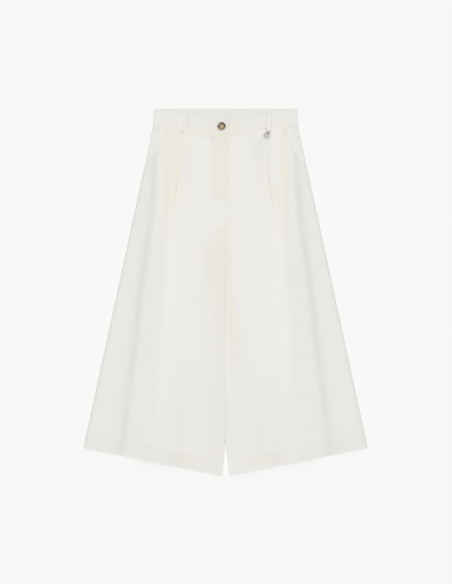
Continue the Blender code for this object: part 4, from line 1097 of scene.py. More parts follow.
def leg_tones(side, out, y):
    """(painted shade, warmth) of the fall from the crest into the groove, and of what lies outside
    it.
    """
    crest, groove = crest_and_groove(y)
    outer = above(out, groove - 0.010, 0.020)
    falling = above(out, crest - 0.006, 0.012) * (1 - outer)
    opens, low = below(y, 0.345, 0.050), below(y, -0.060, 0.280)
    dip = 0.080 - 0.016 * low - 0.022 * below(y - hem_y(out), 0.055, 0.030)
    shade = opens * (0.028 * outer * bell(out - groove, 0.020) + 0.008 * falling)
    shade += below(y, 0.356, 0.045) * dip * bell(out - groove, 0.0072)
    shade += 0.024 * outer + low * mix(0.022, 0.008, outer)
    shade += 0.022 * falling * (1 - low) * below(y, 0.175, 0.070)
    beside_centre = below(out, 0.060, 0.040) * below(y, 0.010, 0.140)
    shade += 0.022 * beside_centre * (1 - below(y, -0.160, 0.040) * (side > 0))
    return shade, 0.14 * opens * bell(out - crest - 0.008 - 0.020 * low, 0.022)


def edge_tones(side, out, y):
    """(shade, warmth) of the turned-up hem, darker and warmer, with painted light along its fold
    and painted shade in a spot above it, and painted light on the inner edges that roll away from
    the light.
    """
    above_hem = y - hem_y(out)
    turned_up = below(above_hem, HEM_DEPTH + 0.002, 0.006)
    shade = turned_up * (0.010 + 0.010 * above(out, 0.070, 0.040)) - 0.050 * bell(above_hem, 0.0014)
    # Painted shade in a spot just above the hem.
    shade += 0.014 * bell(np.hypot(out - HEM_SHADE_OUT[side], (above_hem - 0.022) * 1.3), 0.020)
    light = mix(np.interp(y, *RIM_LIGHT[side]), SLIT_LIGHT, in_slit(y))
    rim = bell(out - inner_out(side, y, True), mix(0.0024, 0.0034, in_slit(y)))
    shade -= rolled(y) * light * rim
    return shade, 0.28 * turned_up * bell(out - 0.095, 0.045) * above(above_hem, 0.003, 0.012)


def pocket_tones(side, out, y):
    """(painted shade, warmth) over the pocket, and over the cloth folded under the pleat."""
    bag = above(out, BAG_OUT[side], 0.005) * below(out, 0.150, 0.008)
    bag *= above(y, BAG_END_Y - 0.004, 0.014) * below(out, mouth_out(y), 0.004)
    shade = -0.014 * bag * below(y, 0.370, 0.030)
    shade += 0.018 * bell(out - 0.139, 0.0040) * above(y, 0.320, 0.020) * (y < mouth_y(out))
    warmth = 0.42 * bag
    if side < 0:
        warmth -= 0.17 * bag * bell(out - 0.112, 0.009) * below(y, 0.245, 0.020)
        folded = above(out, 0.077, 0.004) * below(out, fold_line(side, y) + 0.003, 0.003)
        warmth += 0.26 * folded * above(y, 0.200, 0.040)
    return shade, warmth


def fly_tones(side, out, y):
    """(painted shade, warmth) over the fly, and below it where the legs lie over each other."""
    fly = below(out, FLY_OUT[side], 0.005) * above(y, FACING_END_Y + 0.002, 0.012)
    shade = fly * (0.014 + 0.022 * above(y, 0.330, 0.020))
    warmth = fly * (0.36 + 0.14 * below(out, 0.020, 0.008))
    if side < 0:
        shade += 0.010 * bell(np.hypot((out - 0.011) / 1.25, y - 0.2240), 0.010)
        crossed = below(out, np.interp(y, *CROSSED_REACH) + 0.006, 0.012)
        crossed *= above(y, -0.130, 0.060) * below(y, 0.175, 0.030)
        shade += 0.019 * crossed
        warmth += crossed * mix(0.30, 0.55, below(out, 0.040, 0.030)) * above(y, -0.080, 0.140)
        warmth += 0.16 * below(out, 0.050, 0.030) * below(y, 0.060, 0.040)
    else:
        warmth += 0.35 * below(out, 0.015, 0.005) * above(y, FACING_END_Y, 0.020)
        swing = bell(out - 0.003 - 0.055 * np.clip(0.10 - y, 0, 1), 0.0095) * below(y, 0.200, 0.060)
        warmth += 0.60 * swing * above(y, -0.300, 0.280)
        shade += 0.006 * swing * above(y, -0.185, 0.080)
    return shade, warmth


def front_tones(side, out, y):
    """(shade, warmth) of a front: how much shade or light is painted into its cloth, and how much
    warmer it looks.
    """
    parts = (streak_tones, leg_tones, edge_tones, pocket_tones, fly_tones)
    shade, warmth = (sum(tones) for tones in zip(*(part(side, out, y) for part in parts)))
    return shade, np.clip(warmth, 0, 1)


def waistband_tones(side, out, y):
    """(shade, warmth) of a front waistband: painted shade towards the centre, under its top and at
    its side; painted light along its top edge, at its foot near the side and beside the loops;
    warmer towards the centre.
    """
    centre = below(out, 0.062, 0.050)
    over_seam, under_top = y - waist_y(side, out, "seam"), waist_y(side, out, "top") - y
    shade = 0.017 + 0.012 * centre + 0.014 * below(under_top, 0.016, 0.014)
    shade += 0.012 * bell(WAIST_SEAM_OUT - out, 0.004) - 0.060 * bell(under_top, 0.0010)
    shade -= 0.030 * bell(over_seam, 0.0012) * bell(out - 0.146, 0.008)
    for loop in LOOPS:
        if loop.front and loop.side == side:
            middle = mix(loop.foot_out, loop.top_out, over_seam / (over_seam + under_top))
            beside = np.abs(out - middle) - LOOP_WIDTH / 2
            # Painted light beside each front loop, where its sides would cast shade on the band.
            shade -= (0.040 + 0.030 * (side > 0)) * bell(beside - 0.0006, 0.0014)
    inward = below(out, 0.140, 0.030)
    warmth = 0.02 + 0.22 * centre + 0.16 * below(over_seam, 0.020, 0.020)
    warmth += 0.22 * bell(over_seam, 0.005) * inward
    warmth += 0.16 * (side < 0) * below(over_seam, 0.022, 0.012) * inward
    return shade, warmth


def yoke_shade(side, out, y):
    """How much shade is painted on the hip yoke: painted light along the mouth and under the waist
    seam, painted shade in its upper corner.
    """
    under_seam = waist_y(side, out, "seam") - y
    corner = above(out, 0.152, 0.012)
    shade = 0.036 - 0.050 * bell(out - mouth_out(y), 0.004)
    shade -= 0.060 * bell(under_seam, 0.0016) * (1 - corner)
    return shade + 0.050 * corner * bell(under_seam, 0.0100)


def back_shade(side, out, y):
    """How much shade is painted on the back: painted shade on its ridges, painted light beside the
    slit.
    """
    ridges = crease_rise(BACK_CREASES, side, out, y)
    beside_slit = in_slit(y) * bell(out - inner_out(side, y, False), 0.004)
    return 0.02 + ridges * 12 - 0.145 * beside_slit


# ---- materials -----------------------------------------------------------------------------------
class Wire:
    """A value on its way through a material. Arithmetic on it adds Math nodes."""

    def __init__(self, tree, socket):
        self.tree = tree
        self.socket = socket

    def math(self, operation, *values):
        return self.tree.add("ShaderNodeMath", {"operation": operation}, dict(enumerate(values)))

    def __add__(self, other):
        return self.math("ADD", self, other)

    __radd__ = __add__

    def __sub__(self, other):
        return self.math("SUBTRACT", self, other)

    def __rsub__(self, other):
        return self.math("SUBTRACT", other, self)

    def __mul__(self, other):
        return self.math("MULTIPLY", self, other)

    __rmul__ = __mul__

    def __truediv__(self, other):
        return self.math("DIVIDE", self, other)

    def __rtruediv__(self, other):
        return self.math("DIVIDE", other, self)

    def within(self, low, high):
        """This value, kept between two numbers."""
        return self.math("MINIMUM", self.math("MAXIMUM", self, low), high)

    def wave(self):
        """From 0 to 1 and back, once for each unit."""
        return self.math("SINE", self * math.tau) * 0.5 + 0.5


class Finish:
    """A material under construction, with its Principled shader."""

    def __init__(self, name, roughness, **fixed):
        self.material = bpy.data.materials.new(name)
        self.material.use_nodes = True
        self.nodes = self.material.node_tree.nodes
        self.links = self.material.node_tree.links
        self.shader = self.nodes["Principled BSDF"]
        self.shader.inputs["Roughness"].default_value = roughness
        for key, value in fixed.items():
            self.shader.inputs[key.replace("_", " ")].default_value = value
        place = self.add("ShaderNodeTexCoord", output="Object")
        self.place = place
        self.x, self.y, self.z = self.split(place)

    def split(self, vector):
        node = self.nodes.new("ShaderNodeSeparateXYZ")
        self.links.new(vector.socket, node.inputs[0])
        return [Wire(self, node.outputs[axis]) for axis in range(3)]

    def add(self, kind, settings=None, inputs=None, output=0):
        """A node of this type, its settings made first, then the values or links it takes."""
        node = self.nodes.new(kind)
        for key, value in (settings or {}).items():
            setattr(node, key, value)
        for key, value in (inputs or {}).items():
            if isinstance(value, Wire):
                self.links.new(value.socket, node.inputs[key])
            elif hasattr(value, "__len__") and len(value) == 3 and node.inputs[key].type == "RGBA":
                node.inputs[key].default_value = (*value, 1)
            else:
                node.inputs[key].default_value = value
        return Wire(self, node.outputs[output])

    def length(self, a, b):
        """How long the vector (a, b) is."""
        return a.math("SQRT", a * a + b * b)

    def blend(self, a, b, share):
        """Colour a where share is 0 and b where it is 1."""
        return self.add("ShaderNodeMix", {"data_type": "RGBA"}, {0: share, 6: a, 7: b}, output=2)

    def darkened(self, colour, factor):
        """A colour times a number."""
        return self.add("ShaderNodeVectorMath", {"operation": "SCALE"},
                        {0: colour, "Scale": factor})

    def noise(self, scale, detail=2.0, stretch=(1, 1, 1), rough=0.5):
        """Noise from about 0 to 1; scale is features for each metre, before the stretch."""
        place = self.add("ShaderNodeVectorMath", {"operation": "MULTIPLY"},
                         {0: self.place, 1: tuple(s * scale for s in stretch)})
        return self.add("ShaderNodeTexNoise", None,
                        {"Vector": place, "Scale": 1.0, "Detail": detail, "Roughness": rough})

    def tone(self, name):
        """One of the numbers painted on the mesh."""
        return self.add("ShaderNodeAttribute", {"attribute_name": name}, output="Fac")

    def colour(self, value):
        self.links.new(value.socket, self.shader.inputs["Base Color"])

    def roughness(self, value):
        self.links.new(value.socket, self.shader.inputs["Roughness"])

    def bump(self, height, distance, strength=1.0):
        made = self.add("ShaderNodeBump", None,
                        {"Height": height, "Distance": distance, "Strength": strength},
                        output="Normal")
        self.links.new(made.socket, self.shader.inputs["Normal"])


def woven(finish, pitch, along):
    """The height of a plain weave, 0 to 1, and its slubs; `along` is the axis of the warp."""
    across_warp, across_weft = (finish.x, finish.y) if along == "Y" else (finish.y, finish.x)
    u, v = across_warp / pitch, across_weft / pitch
    checks = u.math("PINGPONG", u.math("FLOOR", u) + v.math("FLOOR", v), 1.0)
    warp = u.math("PINGPONG", u * 2, 1.0)
    weft = v.math("PINGPONG", v * 2, 1.0)
    height = warp * checks + weft * (1 - checks)
    slim = (1, 1 / 34, 1) if along == "Y" else (1 / 34, 1, 1)
    wide = (1 / 22, 1, 1) if along == "Y" else (1, 1 / 22, 1)
    slub = finish.noise(900, 3, slim) * 0.7 + finish.noise(1100, 2, wide) * 0.3
    return height, slub


def cloth_finish(name, look, along="Y", shade=0.0, warmth=0.0):
    """Ivory cloth: a matt plain weave with fine slubs, warmer where it lies over other layers, with
    the painted shade and light of its `shade` tone and painted shade in the low places of its
    weave.
    """
    finish = Finish(name, look.roughness, Sheen_Weight=look.sheen, Sheen_Roughness=0.5,
                    Specular_IOR_Level=0.25)
    height, slub = woven(finish, look.pitch, along)
    cloudy = finish.noise(14, 3)
    shade_tone = finish.tone("shade") + shade
    warm_tone = (finish.tone("warmth") + warmth).within(0, 1)
    colour = finish.blend(tuple(look.colour), tuple(look.warm_colour), warm_tone)
    value = (1 - shade_tone) * (1 + (slub - 0.5) * look.slub) * (1 + (cloudy - 0.5) * 0.012)
    # Painted shade in the low places of the weave.
    value = value * (1 - (1 - height) * 0.018)
    finish.colour(finish.darkened(colour, value))
    finish.bump(height * 0.5 + slub * 0.9 + finish.noise(260, 3) * 0.35, 0.00022, 0.55)
    return finish.material


def lining_finish(look):
    """Pocketing: a plain close cotton, a little yellower than the cloth."""
    finish = Finish("pocketing", 0.85, Specular_IOR_Level=0.25)
    height, slub = woven(finish, look.pitch * 0.7, "Y")
    finish.colour(finish.blend((0.80, 0.765, 0.68), (0.76, 0.72, 0.63), slub))
    finish.bump(height, 0.0001, 0.5)
    return finish.material


def tape_finish():
    """Zip tape: ivory polyester with the fine ribs of its weave across it, and painted shade
    between the ribs.
    """
    finish = Finish("zip_tape", 0.6, Specular_IOR_Level=0.3)
    ribs = (finish.y / 0.0009).wave()
    finish.colour(finish.blend((0.78, 0.755, 0.69), (0.83, 0.81, 0.75), ribs))
    finish.bump(ribs, 0.0001, 0.6)
    return finish.material


def thread_finish(look, tint=(1, 1, 1)):
    """Sewing thread: two plies twisted round each other, with painted shade in the low places of
    the twist.
    """
    finish = Finish("sewing_thread", 0.55, Sheen_Weight=0.25, Specular_IOR_Level=0.35)
    twist = ((finish.x + finish.y + finish.z) / 0.0009).wave()
    light = tuple(c * t for c, t in zip(look.thread, tint))
    finish.colour(finish.blend(tuple(c * 0.93 for c in light), light, twist))
    finish.bump(twist, 0.00006, 0.7)
    return finish.material


def lacquer_finish():
    """Lacquered zip metal, worn a little on its high places."""
    finish = Finish("zip_lacquer", 0.32, Metallic=0.25, Coat_Weight=0.3)
    worn = finish.noise(900, 3)
    finish.colour(finish.blend((0.80, 0.78, 0.72), (0.70, 0.68, 0.63), worn))
    finish.roughness(worn * 0.2 + 0.25)
    return finish.material


def horn_finish(look):
    """Polished horn: amber clouded with brown, near black round the upper right of the rim, with a
    painted highlight of light horn in its middle.
    """
    finish = Finish("horn", 0.30, Specular_IOR_Level=0.10)
    u, v = finish.x / BUTTON_RADIUS, finish.y / BUTTON_RADIUS
    cloud = finish.noise(330, 4, (1, 0.55, 1), 0.62)
    streak = finish.noise(900, 3, (0.5, 1.6, 1), 0.5)
    rim = ((finish.length(u, v) - 0.52) * 3.6).within(0, 1)
    upper_right = ((u * 0.64 + v * 0.77 - 0.10) * 2.6).within(0, 1)
    spot = (1.9 - finish.length(u + 0.86, v + 0.16) * 3.6).within(0, 1)
    dark = rim * upper_right + spot * 0.8 + (cloud - 0.48) * 1.7
    dark = dark.within(0, 1)
    # A painted highlight: light horn in the button's middle.
    centre_highlight = (1.3 - finish.length(u - 0.1, v + 0.1) * 2.4).within(0, 1)
    amber = finish.blend(tuple(look.horn_amber), tuple(look.horn_light),
                         streak * 0.45 + centre_highlight * 0.6)
    finish.colour(finish.blend(amber, tuple(look.horn_dark), dark))
    finish.roughness(cloud * 0.12 + 0.16)
    finish.bump(streak, 0.00004, 0.4)
    return finish.material


def charm_finish(look):
    """Aged silver: brushed along the drop, stained at random, with painted shade round the upper
    part of its rim, polished by handling.
    """
    finish = Finish("charm_metal", 0.3, Metallic=1.0)
    brushed = finish.noise(1500, 2, (1.0, 0.12, 1.0))
    stain = finish.noise(420, 3)
    x, y = finish.x - DROP_AT[0], finish.y - DROP_AT[1]
    # Painted shade round the upper part of the drop's rim.
    rim = ((finish.length(x, y) / DROP_RADIUS - 0.55) * 3).within(0, 1)
    upper = ((y * 0.9 - x * 0.3) / DROP_RADIUS * 1.6).within(0, 1)
    metal = finish.blend(tuple(look.metal), tuple(c * 0.62 for c in look.metal), stain)
    finish.colour(finish.darkened(metal, 1 - rim * upper * 0.4))
    finish.roughness(brushed * 0.18 + 0.22)
    finish.bump(brushed, 0.00003, 0.5)
    return finish.material


def floor_finish(studio):
    """Smooth pale paper."""
    finish = Finish("floor_paper", 0.95, Specular_IOR_Level=0.0)
    finish.shader.inputs["Emission Color"].default_value = (1, 1, 1, 1)
    finish.shader.inputs["Emission Strength"].default_value = studio.floor_glow
    grain = 1 + (finish.noise(35, 2) - 0.5) * 0.003
    finish.colour(finish.darkened(tuple(studio.floor), grain))
    return finish.material


# ---- sewing --------------------------------------------------------------------------------------
def top_of(name):
    """A function that gives the height of a piece's top under a place, or None beside it."""
    mesh = bpy.data.objects[name].data
    mesh.calc_loop_triangles()
    corners = np.empty(len(mesh.loop_triangles) * 3, np.int32)
    mesh.loop_triangles.foreach_get("vertices", corners)
    tree = BVHTree.FromPolygons(coordinates(mesh).tolist(), corners.reshape(-1, 3).tolist())

    def height(x, y):
        hit = tree.ray_cast(Vector((x, y, OVERHEAD)), Vector((0, 0, -1)))[0]
        return None if hit is None else hit.z

    return height


def spaced(points, step):
    """Points along a line, at equal distances of about this step."""
    points = np.asarray(points, float)
    lengths = np.concatenate([[0], np.cumsum(np.linalg.norm(np.diff(points, axis=0), axis=1))])
    count = max(1, round(lengths[-1] / step))
    at = np.linspace(0, lengths[-1], count + 1)
    return np.stack([np.interp(at, lengths, points[:, axis]) for axis in range(points.shape[1])],
                    axis=-1)


def threads(name, runs, radius, material, rounds=2, at=(0, 0, 0), turn=0.0):
    """Round threads along runs of points, as one piece."""
    curve = bpy.data.curves.new(name, "CURVE")
    curve.dimensions = "3D"
    curve.bevel_depth = radius
    curve.bevel_resolution = rounds
    curve.use_fill_caps = True
    for run in runs:
        spline = curve.splines.new("POLY")
        spline.points.add(len(run) - 1)
        for spot, point in zip(spline.points, run):
            spot.co = (*point, 1)
    obj = link(bpy.data.objects.new(name, curve))
    obj.location = at
    obj.rotation_euler.z = turn
    curve.materials.append(material)
    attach(obj, "garment")
    return obj


def stitched(name, lines, on, material):
    """Lines of stitches on a piece, each stitch sunk into it at its two ends."""
    top = top_of(on)
    pitch = STITCH_LENGTH + STITCH_GAP
    share = STITCH_GAP / pitch / 2
    rise = STITCH_RADIUS * 0.55
    stitches = []
    for line in lines:
        knots = spaced(line, pitch)
        for a, b in zip(knots, knots[1:]):
            places = [mix(a, b, t) for t in (share, 0.30, 0.70, 1 - share)]
            heights = [top(*place) for place in places]
            if None not in heights:
                lifts = (-STITCH_RADIUS, rise, rise, -STITCH_RADIUS)
                stitches.append([(*place, height + lift)
                                 for place, height, lift in zip(places, heights, lifts)])
    return threads(name, stitches, STITCH_RADIUS, material, rounds=1)


def bartack(x, y, width, turn):
    """Lines of a bartack: close stitches side by side, `turn` radians round from across."""
    along = np.array((math.cos(turn), math.sin(turn)))
    beside = np.array((-along[1], along[0]))
    middle = np.array((x, y))
    lines = []
    count = round(width / BARTACK_PITCH)
    for i in range(count):
        start = middle + along * (i / (count - 1) - 0.5) * width
        lines.append([start - beside * BARTACK_WIDTH / 2, start + beside * BARTACK_WIDTH / 2])
    return lines


# ---- hard pieces ---------------------------------------------------------------------------------
def cylinder(radius, depth, sides, at):
    work = bmesh.new()
    bmesh.ops.create_cone(work, cap_ends=True, segments=sides, radius1=radius, radius2=radius,
                          depth=depth, matrix=Matrix.Translation(at))
    return finished("cutter", work)


def cut(obj, meshes):
    """Cuts these shapes out of an object."""
    for mesh in meshes:
        cutter = link(bpy.data.objects.new("cutter", mesh))
        hole = obj.modifiers.new("hole", "BOOLEAN")
        hole.operation = "DIFFERENCE"
        hole.solver = "EXACT"
        hole.object = cutter
        obj = applied(obj)
        bpy.data.objects.remove(cutter)
    return obj


def softened(obj, width, segments=2, angle=30):
    """Rounded edges, with the flats kept flat."""
    obj = rounded(obj, width, segments, angle)
    obj.modifiers.new("flats", "WEIGHTED_NORMAL").keep_sharp = True
    return applied(obj)


def block(name, size, at, taper=1.0):
    """A box; taper draws its upper face in."""
    work = bmesh.new()
    bmesh.ops.create_cube(work, size=1, matrix=Matrix.Diagonal((*size, 1)))
    for vert in work.verts:
        if vert.co.z > 0:
            vert.co.x *= taper
            vert.co.y *= taper
    bmesh.ops.translate(work, verts=work.verts, vec=at)
    return link(bpy.data.objects.new(name, finished(name, work)))


def joined(name, objects):
    """Several objects as one mesh."""
    work = bmesh.new()
    for obj in objects:
        mesh = obj.data
        mesh.transform(obj.matrix_world)
        work.from_mesh(mesh)
        bpy.data.objects.remove(obj)
    return link(bpy.data.objects.new(name, finished(name, work)))


def drop_outline(inset):
    """The charm's drop about its eye, which is at the origin, its round end towards -Y."""
    taper = math.acos((DROP_RADIUS - EYE_RADIUS) / DROP_LENGTH)
    points = []
    for drop, radius, start, end, count in (
        (0.0, EYE_RADIUS - inset, -taper, taper, 14),
        (DROP_LENGTH, DROP_RADIUS - inset, taper, 2 * math.pi - taper, 44),
    ):
        for k in range(count + 1):
            angle = mix(start, end, k / count)
            points.append((radius * math.sin(angle), radius * math.cos(angle) - drop))
    return points


# ---- settings ------------------------------------------------------------------------------------
COLOUR = {"subtype": "COLOR", "size": 3, "min": 0, "max": 1}


class CulottesCloth(bpy.types.PropertyGroup):
    """Colours and weave of the cloth and thread."""

    colour: FloatVectorProperty(
        name="Ivory", description="Colour of one layer of the cloth",
        default=(0.852, 0.843, 0.800), **COLOUR)
    warm_colour: FloatVectorProperty(
        name="Warm ivory", description="Colour where the cloth lies over other layers",
        default=(0.856, 0.818, 0.705), **COLOUR)
    thread: FloatVectorProperty(
        name="Thread", description="Colour of the sewing thread",
        default=(0.80, 0.775, 0.70), **COLOUR)
    pitch: FloatProperty(
        name="Weave pitch", description="Distance between threads", unit="LENGTH",
        min=0.0002, max=0.003, default=0.0006)
    slub: FloatProperty(
        name="Slub", description="How uneven the thread is", min=0, max=1, default=0.05)
    sheen: FloatProperty(
        name="Sheen", description="Soft light on the nap", min=0, max=1, default=0.12)
    roughness: FloatProperty(
        name="Roughness", description="How matt the cloth is", min=0, max=1, default=0.85)


class CulottesTrims(bpy.types.PropertyGroup):
    """Colours of the button and the charm."""

    # Light horn is also the colour of the painted highlight in the button's middle.
    horn_light: FloatVectorProperty(
        name="Light horn", description="Tan of the button",
        default=(0.64, 0.52, 0.33), **COLOUR)
    horn_amber: FloatVectorProperty(
        name="Amber horn", description="Amber of the button",
        default=(0.27, 0.212, 0.122), **COLOUR)
    horn_dark: FloatVectorProperty(
        name="Dark horn", description="Brown of the button's dark clouds",
        default=(0.060, 0.041, 0.019), **COLOUR)
    metal: FloatVectorProperty(
        name="Charm metal", description="Colour of the charm",
        default=(0.270, 0.262, 0.245), **COLOUR)


class CulottesStudio(bpy.types.PropertyGroup):
    """The floor, the lights and the camera."""

    floor: FloatVectorProperty(
        name="Floor", description="Colour of the floor",
        default=(0.634, 0.634, 0.634), **COLOUR)
    floor_glow: FloatProperty(
        name="Floor light", description="Light from under the floor's paper, which thins shadows",
        min=0, max=1, default=0.292)
    sky: FloatProperty(
        name="Sky", description="Light from all round", min=0, max=5, default=0.50)
    sun: FloatProperty(
        name="Overhead light", description="Light from the softbox overhead",
        min=0, max=20, default=1.60)
    softness: FloatProperty(
        name="Softness", description="Width of the overhead light", unit="ROTATION",
        min=0, max=3.1, default=math.radians(50))
    lens: FloatProperty(
        name="Lens", description="Focal length in millimetres", min=10, max=400, default=85)
    frame_height: FloatProperty(
        name="Frame height", description="Height of the picture on the floor", unit="LENGTH",
        min=0.1, max=10, default=1.3668)


# ---- operators -----------------------------------------------------------------------------------
Cut = namedtuple("Cut", "width length area")
FRONT_CUT = Cut(0.372, 0.880, 0.2460)
BACK_CUT = Cut(0.352, 0.880, 0.2320)
YOKE_CUT = Cut(0.105, 0.225, 0.0150)
BAG_CUT = Cut(0.105, 0.220, 0.0125)
FRONT_BAND_CUT = {1: Cut(0.215, 0.060, 0.0094), -1: Cut(0.190, 0.060, 0.0082)}
BACK_BAND_CUT = Cut(0.172, 0.042, 0.0067)
LOOP_CUT = Cut(0.013, 0.048, 0.00055)
FACING_CUT = Cut(0.030, 0.155, 0.0042)
SHIELD_CUT = Cut(0.043, 0.158, 0.0068)
ZIP_CUT = Cut(0.024, 0.135, 0.00324)


def laid(obj, cut_size, rests_on):
    """Takes a sheet of cloth that lies flat on others, its cut size and what it rests on, and does
    nothing with them.
    """


def hand(side):
    return "left" if side > 0 else "right"


class MakeFronts(bpy.types.Operator):
    """Front leg panels with pleat, pocket edge, rolled sides and turned-up hem."""

    bl_idname = "culottes.make_fronts"
    bl_label = "Front panels"

    def execute(self, context):
        material = cloth_finish("ivory_cloth", context.scene.culottes_cloth)
        for side in (-1, 1):
            name = f"front_{hand(side)}"
            obj = cloth(name, lay(front_panel(side), side), side, CLOTH, material)
            paint(obj, *front_tones(side, *spots_of(obj, side)[:2]))
            laid(obj, FRONT_CUT, [f"back_{hand(side)}"])
        return {"FINISHED"}


class MakeBacks(bpy.types.Operator):
    """Back leg panels, flat on the surface, with turned-up hem."""

    bl_idname = "culottes.make_backs"
    bl_label = "Back panels"

    def execute(self, context):
        material = cloth_finish("ivory_cloth_back", context.scene.culottes_cloth)
        for side in (-1, 1):
            name = f"back_{hand(side)}"
            obj = cloth(name, back_panel(side), side, CLOTH, material)
            paint(obj, back_shade(side, *spots_of(obj, side)[:2]), 0)
            laid(obj, BACK_CUT, ["floor"])
        return {"FINISHED"}


class MakePockets(bpy.types.Operator):
    """Hip yokes that show in the pocket mouths, and the pocket bags inside."""

    bl_idname = "culottes.make_pockets"
    bl_label = "Pockets"

    def execute(self, context):
        look = context.scene.culottes_cloth
        self_cloth = cloth_finish("ivory_cloth_yoke", look)
        lining = lining_finish(look)
        for side in (-1, 1):
            yoke, bag = f"hip_yoke_{hand(side)}", f"pocket_bag_{hand(side)}"
            obj = cloth(yoke, lay(yoke_panel(side), side), side, CLOTH, self_cloth)
            paint(obj, yoke_shade(side, *spots_of(obj, side)[:2]), 0)
            laid(obj, YOKE_CUT, [f"back_{hand(side)}"])
            obj = cloth(bag, lay(bag_panel(side), side), side, CLOTH, lining)
            laid(obj, BAG_CUT, [yoke])
        return {"FINISHED"}


class MakeWaistband(bpy.types.Operator):
    """The waistband: two fronts, the right one over the left one, and two backs."""

    bl_idname = "culottes.make_waistband"
    bl_label = "Waistband"

    def execute(self, context):
        material = cloth_finish("ivory_band", context.scene.culottes_cloth, along="X")
        for side in (-1, 1):
            name = f"waistband_front_{hand(side)}"
            hole = None
            if side < 0:
                reach = 3 * SLIT_HALF
                hole = [(-SLIT_OUT[1], BUTTON_AT[1] - reach), (-SLIT_OUT[0], BUTTON_AT[1] + reach)]
            obj = cloth(name, front_band(side), side, BAND, material, hole)
            paint(obj, *waistband_tones(side, *spots_of(obj, side)[:2]))
            laid(obj, FRONT_BAND_CUT[side], [f"waistband_back_{hand(side)}"])
            name = f"waistband_back_{hand(side)}"
            obj = cloth(name, back_band(), side, BAND, material)
            out, y, z = spots_of(obj, side)
            # Painted shade over the back band, and painted light where the front band's top edge
            # stands over it.
            at_front_edge = bell(y - waist_y(side, out, "top"), 0.0020) * (z > BACK_BAND_Z)
            paint(obj, 0.050 - 0.15 * at_front_edge, 0.05)
            laid(obj, BACK_BAND_CUT, [f"back_{hand(side)}"])
        return {"FINISHED"}


class MakeLoops(bpy.types.Operator):
    """Five belt loops, two in front and three behind."""

    bl_idname = "culottes.make_loops"
    bl_label = "Belt loops"

    def execute(self, context):
        material = cloth_finish("ivory_loops", context.scene.culottes_cloth)
        for loop in LOOPS:
            obj = cloth(loop.name, loop_rows(loop), loop.side, LOOP_WALL, material,
                        edge_share=0.3)
            from_middle = np.abs(spots_of(obj, loop.side)[0] - loop.foot_out) / (LOOP_WIDTH / 2)
            # Painted shade, darker towards the loop's long edges, which turn away from the light.
            paint(obj, 0.008 + 0.022 * above(from_middle, 0.75, 0.25), 0.15)
            area = "front" if loop.front else "back"
            under = f"waistband_{area}_{hand(loop.side)}"
            laid(obj, LOOP_CUT, [under])
        return {"FINISHED"}


class MakeFly(bpy.types.Operator):
    """The fly: facing, shield, zip tape, teeth and slider."""

    bl_idname = "culottes.make_fly"
    bl_label = "Fly and zip"

    def execute(self, context):
        look = context.scene.culottes_cloth
        material = cloth_finish("ivory_fly", look)
        obj = cloth("fly_facing", facing_rows(), -1, CLOTH, material)
        paint(obj, 0.02, 0.3)
        laid(obj, FACING_CUT, ["fly_zip"])
        shield_above = CLOTH + 2 * GAP
        rows = strip_rows(SHIELD_OUT, SHIELD_Y, shield_above)
        obj = cloth("fly_shield", rows, 1, CLOTH, material)
        paint(obj, 0.02, 0.3)
        laid(obj, SHIELD_CUT, ["back_right", "back_left"])
        zip_above = shield_above + CLOTH / 2 + GAP + ZIP_WALL / 2
        rows = strip_rows(ZIP_OUT, ZIP_Y, zip_above)
        obj = cloth("fly_zip", rows, 1, TAPE_WALL, tape_finish())
        laid(obj, ZIP_CUT, ["fly_shield"])
        self.teeth(zip_above)
        self.slider()
        return {"FINISHED"}

    def teeth(self, tape_z):
        """Two rows of moulded teeth that mesh, and the stop at the zip's foot."""
        middle, low = sum(ZIP_OUT) / 2, ZIP_Y[1] + TEETH_START
        made = []

        def add(size, out, y, taper):
            at = (middle + out, y, float(back_z(y)) + tape_z + TEETH_LIFT)
            made.append(block("tooth", size, at, taper))

        for i in range(int((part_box("zip_slider")[0].y - low) / TOOTH_PITCH)):
            for row, side in ((0, -1), (0.5, 1)):
                add(TOOTH, side * TOOTH_OUT, low + (i + row) * TOOTH_PITCH, 0.8)
        add(ZIP_STOP, 0, low - ZIP_STOP_BELOW, 0.85)
        finished_piece(joined("zip_teeth", made), "zip_teeth", lacquer_finish(), "garment")

    def slider(self):
        """The slider's body, its bridge and the flat pull that lies on it."""
        low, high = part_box("zip_slider")
        middle, size = (low + high) / 2, high - low
        body = softened(block("body", (size.x, size.y * 0.92, size.z * 0.45),
                              (middle.x, middle.y, low.z + size.z * 0.24), 0.92), 0.00018)
        bridge = softened(block("bridge", (size.x * 0.26, size.y * 0.70, size.z * 0.34),
                                (middle.x, middle.y, low.z + size.z * 0.62), 0.8), 0.00012)
        pull = block("pull", (size.x * 0.62, size.y * 0.94, size.z * 0.16),
                     (middle.x, middle.y, high.z - size.z * 0.09))
        hole = (middle.x, low.y + size.y * 0.2, high.z)
        pull = cut(pull, [cylinder(size.x * 0.16, 0.003, 20, hole)])
        pull = softened(pull, 0.00006, 1)
        finished_piece(joined("zip_slider_detail", [body, bridge, pull]), "zip_slider_detail",
                       lacquer_finish(), "garment", ["zip_slider"])


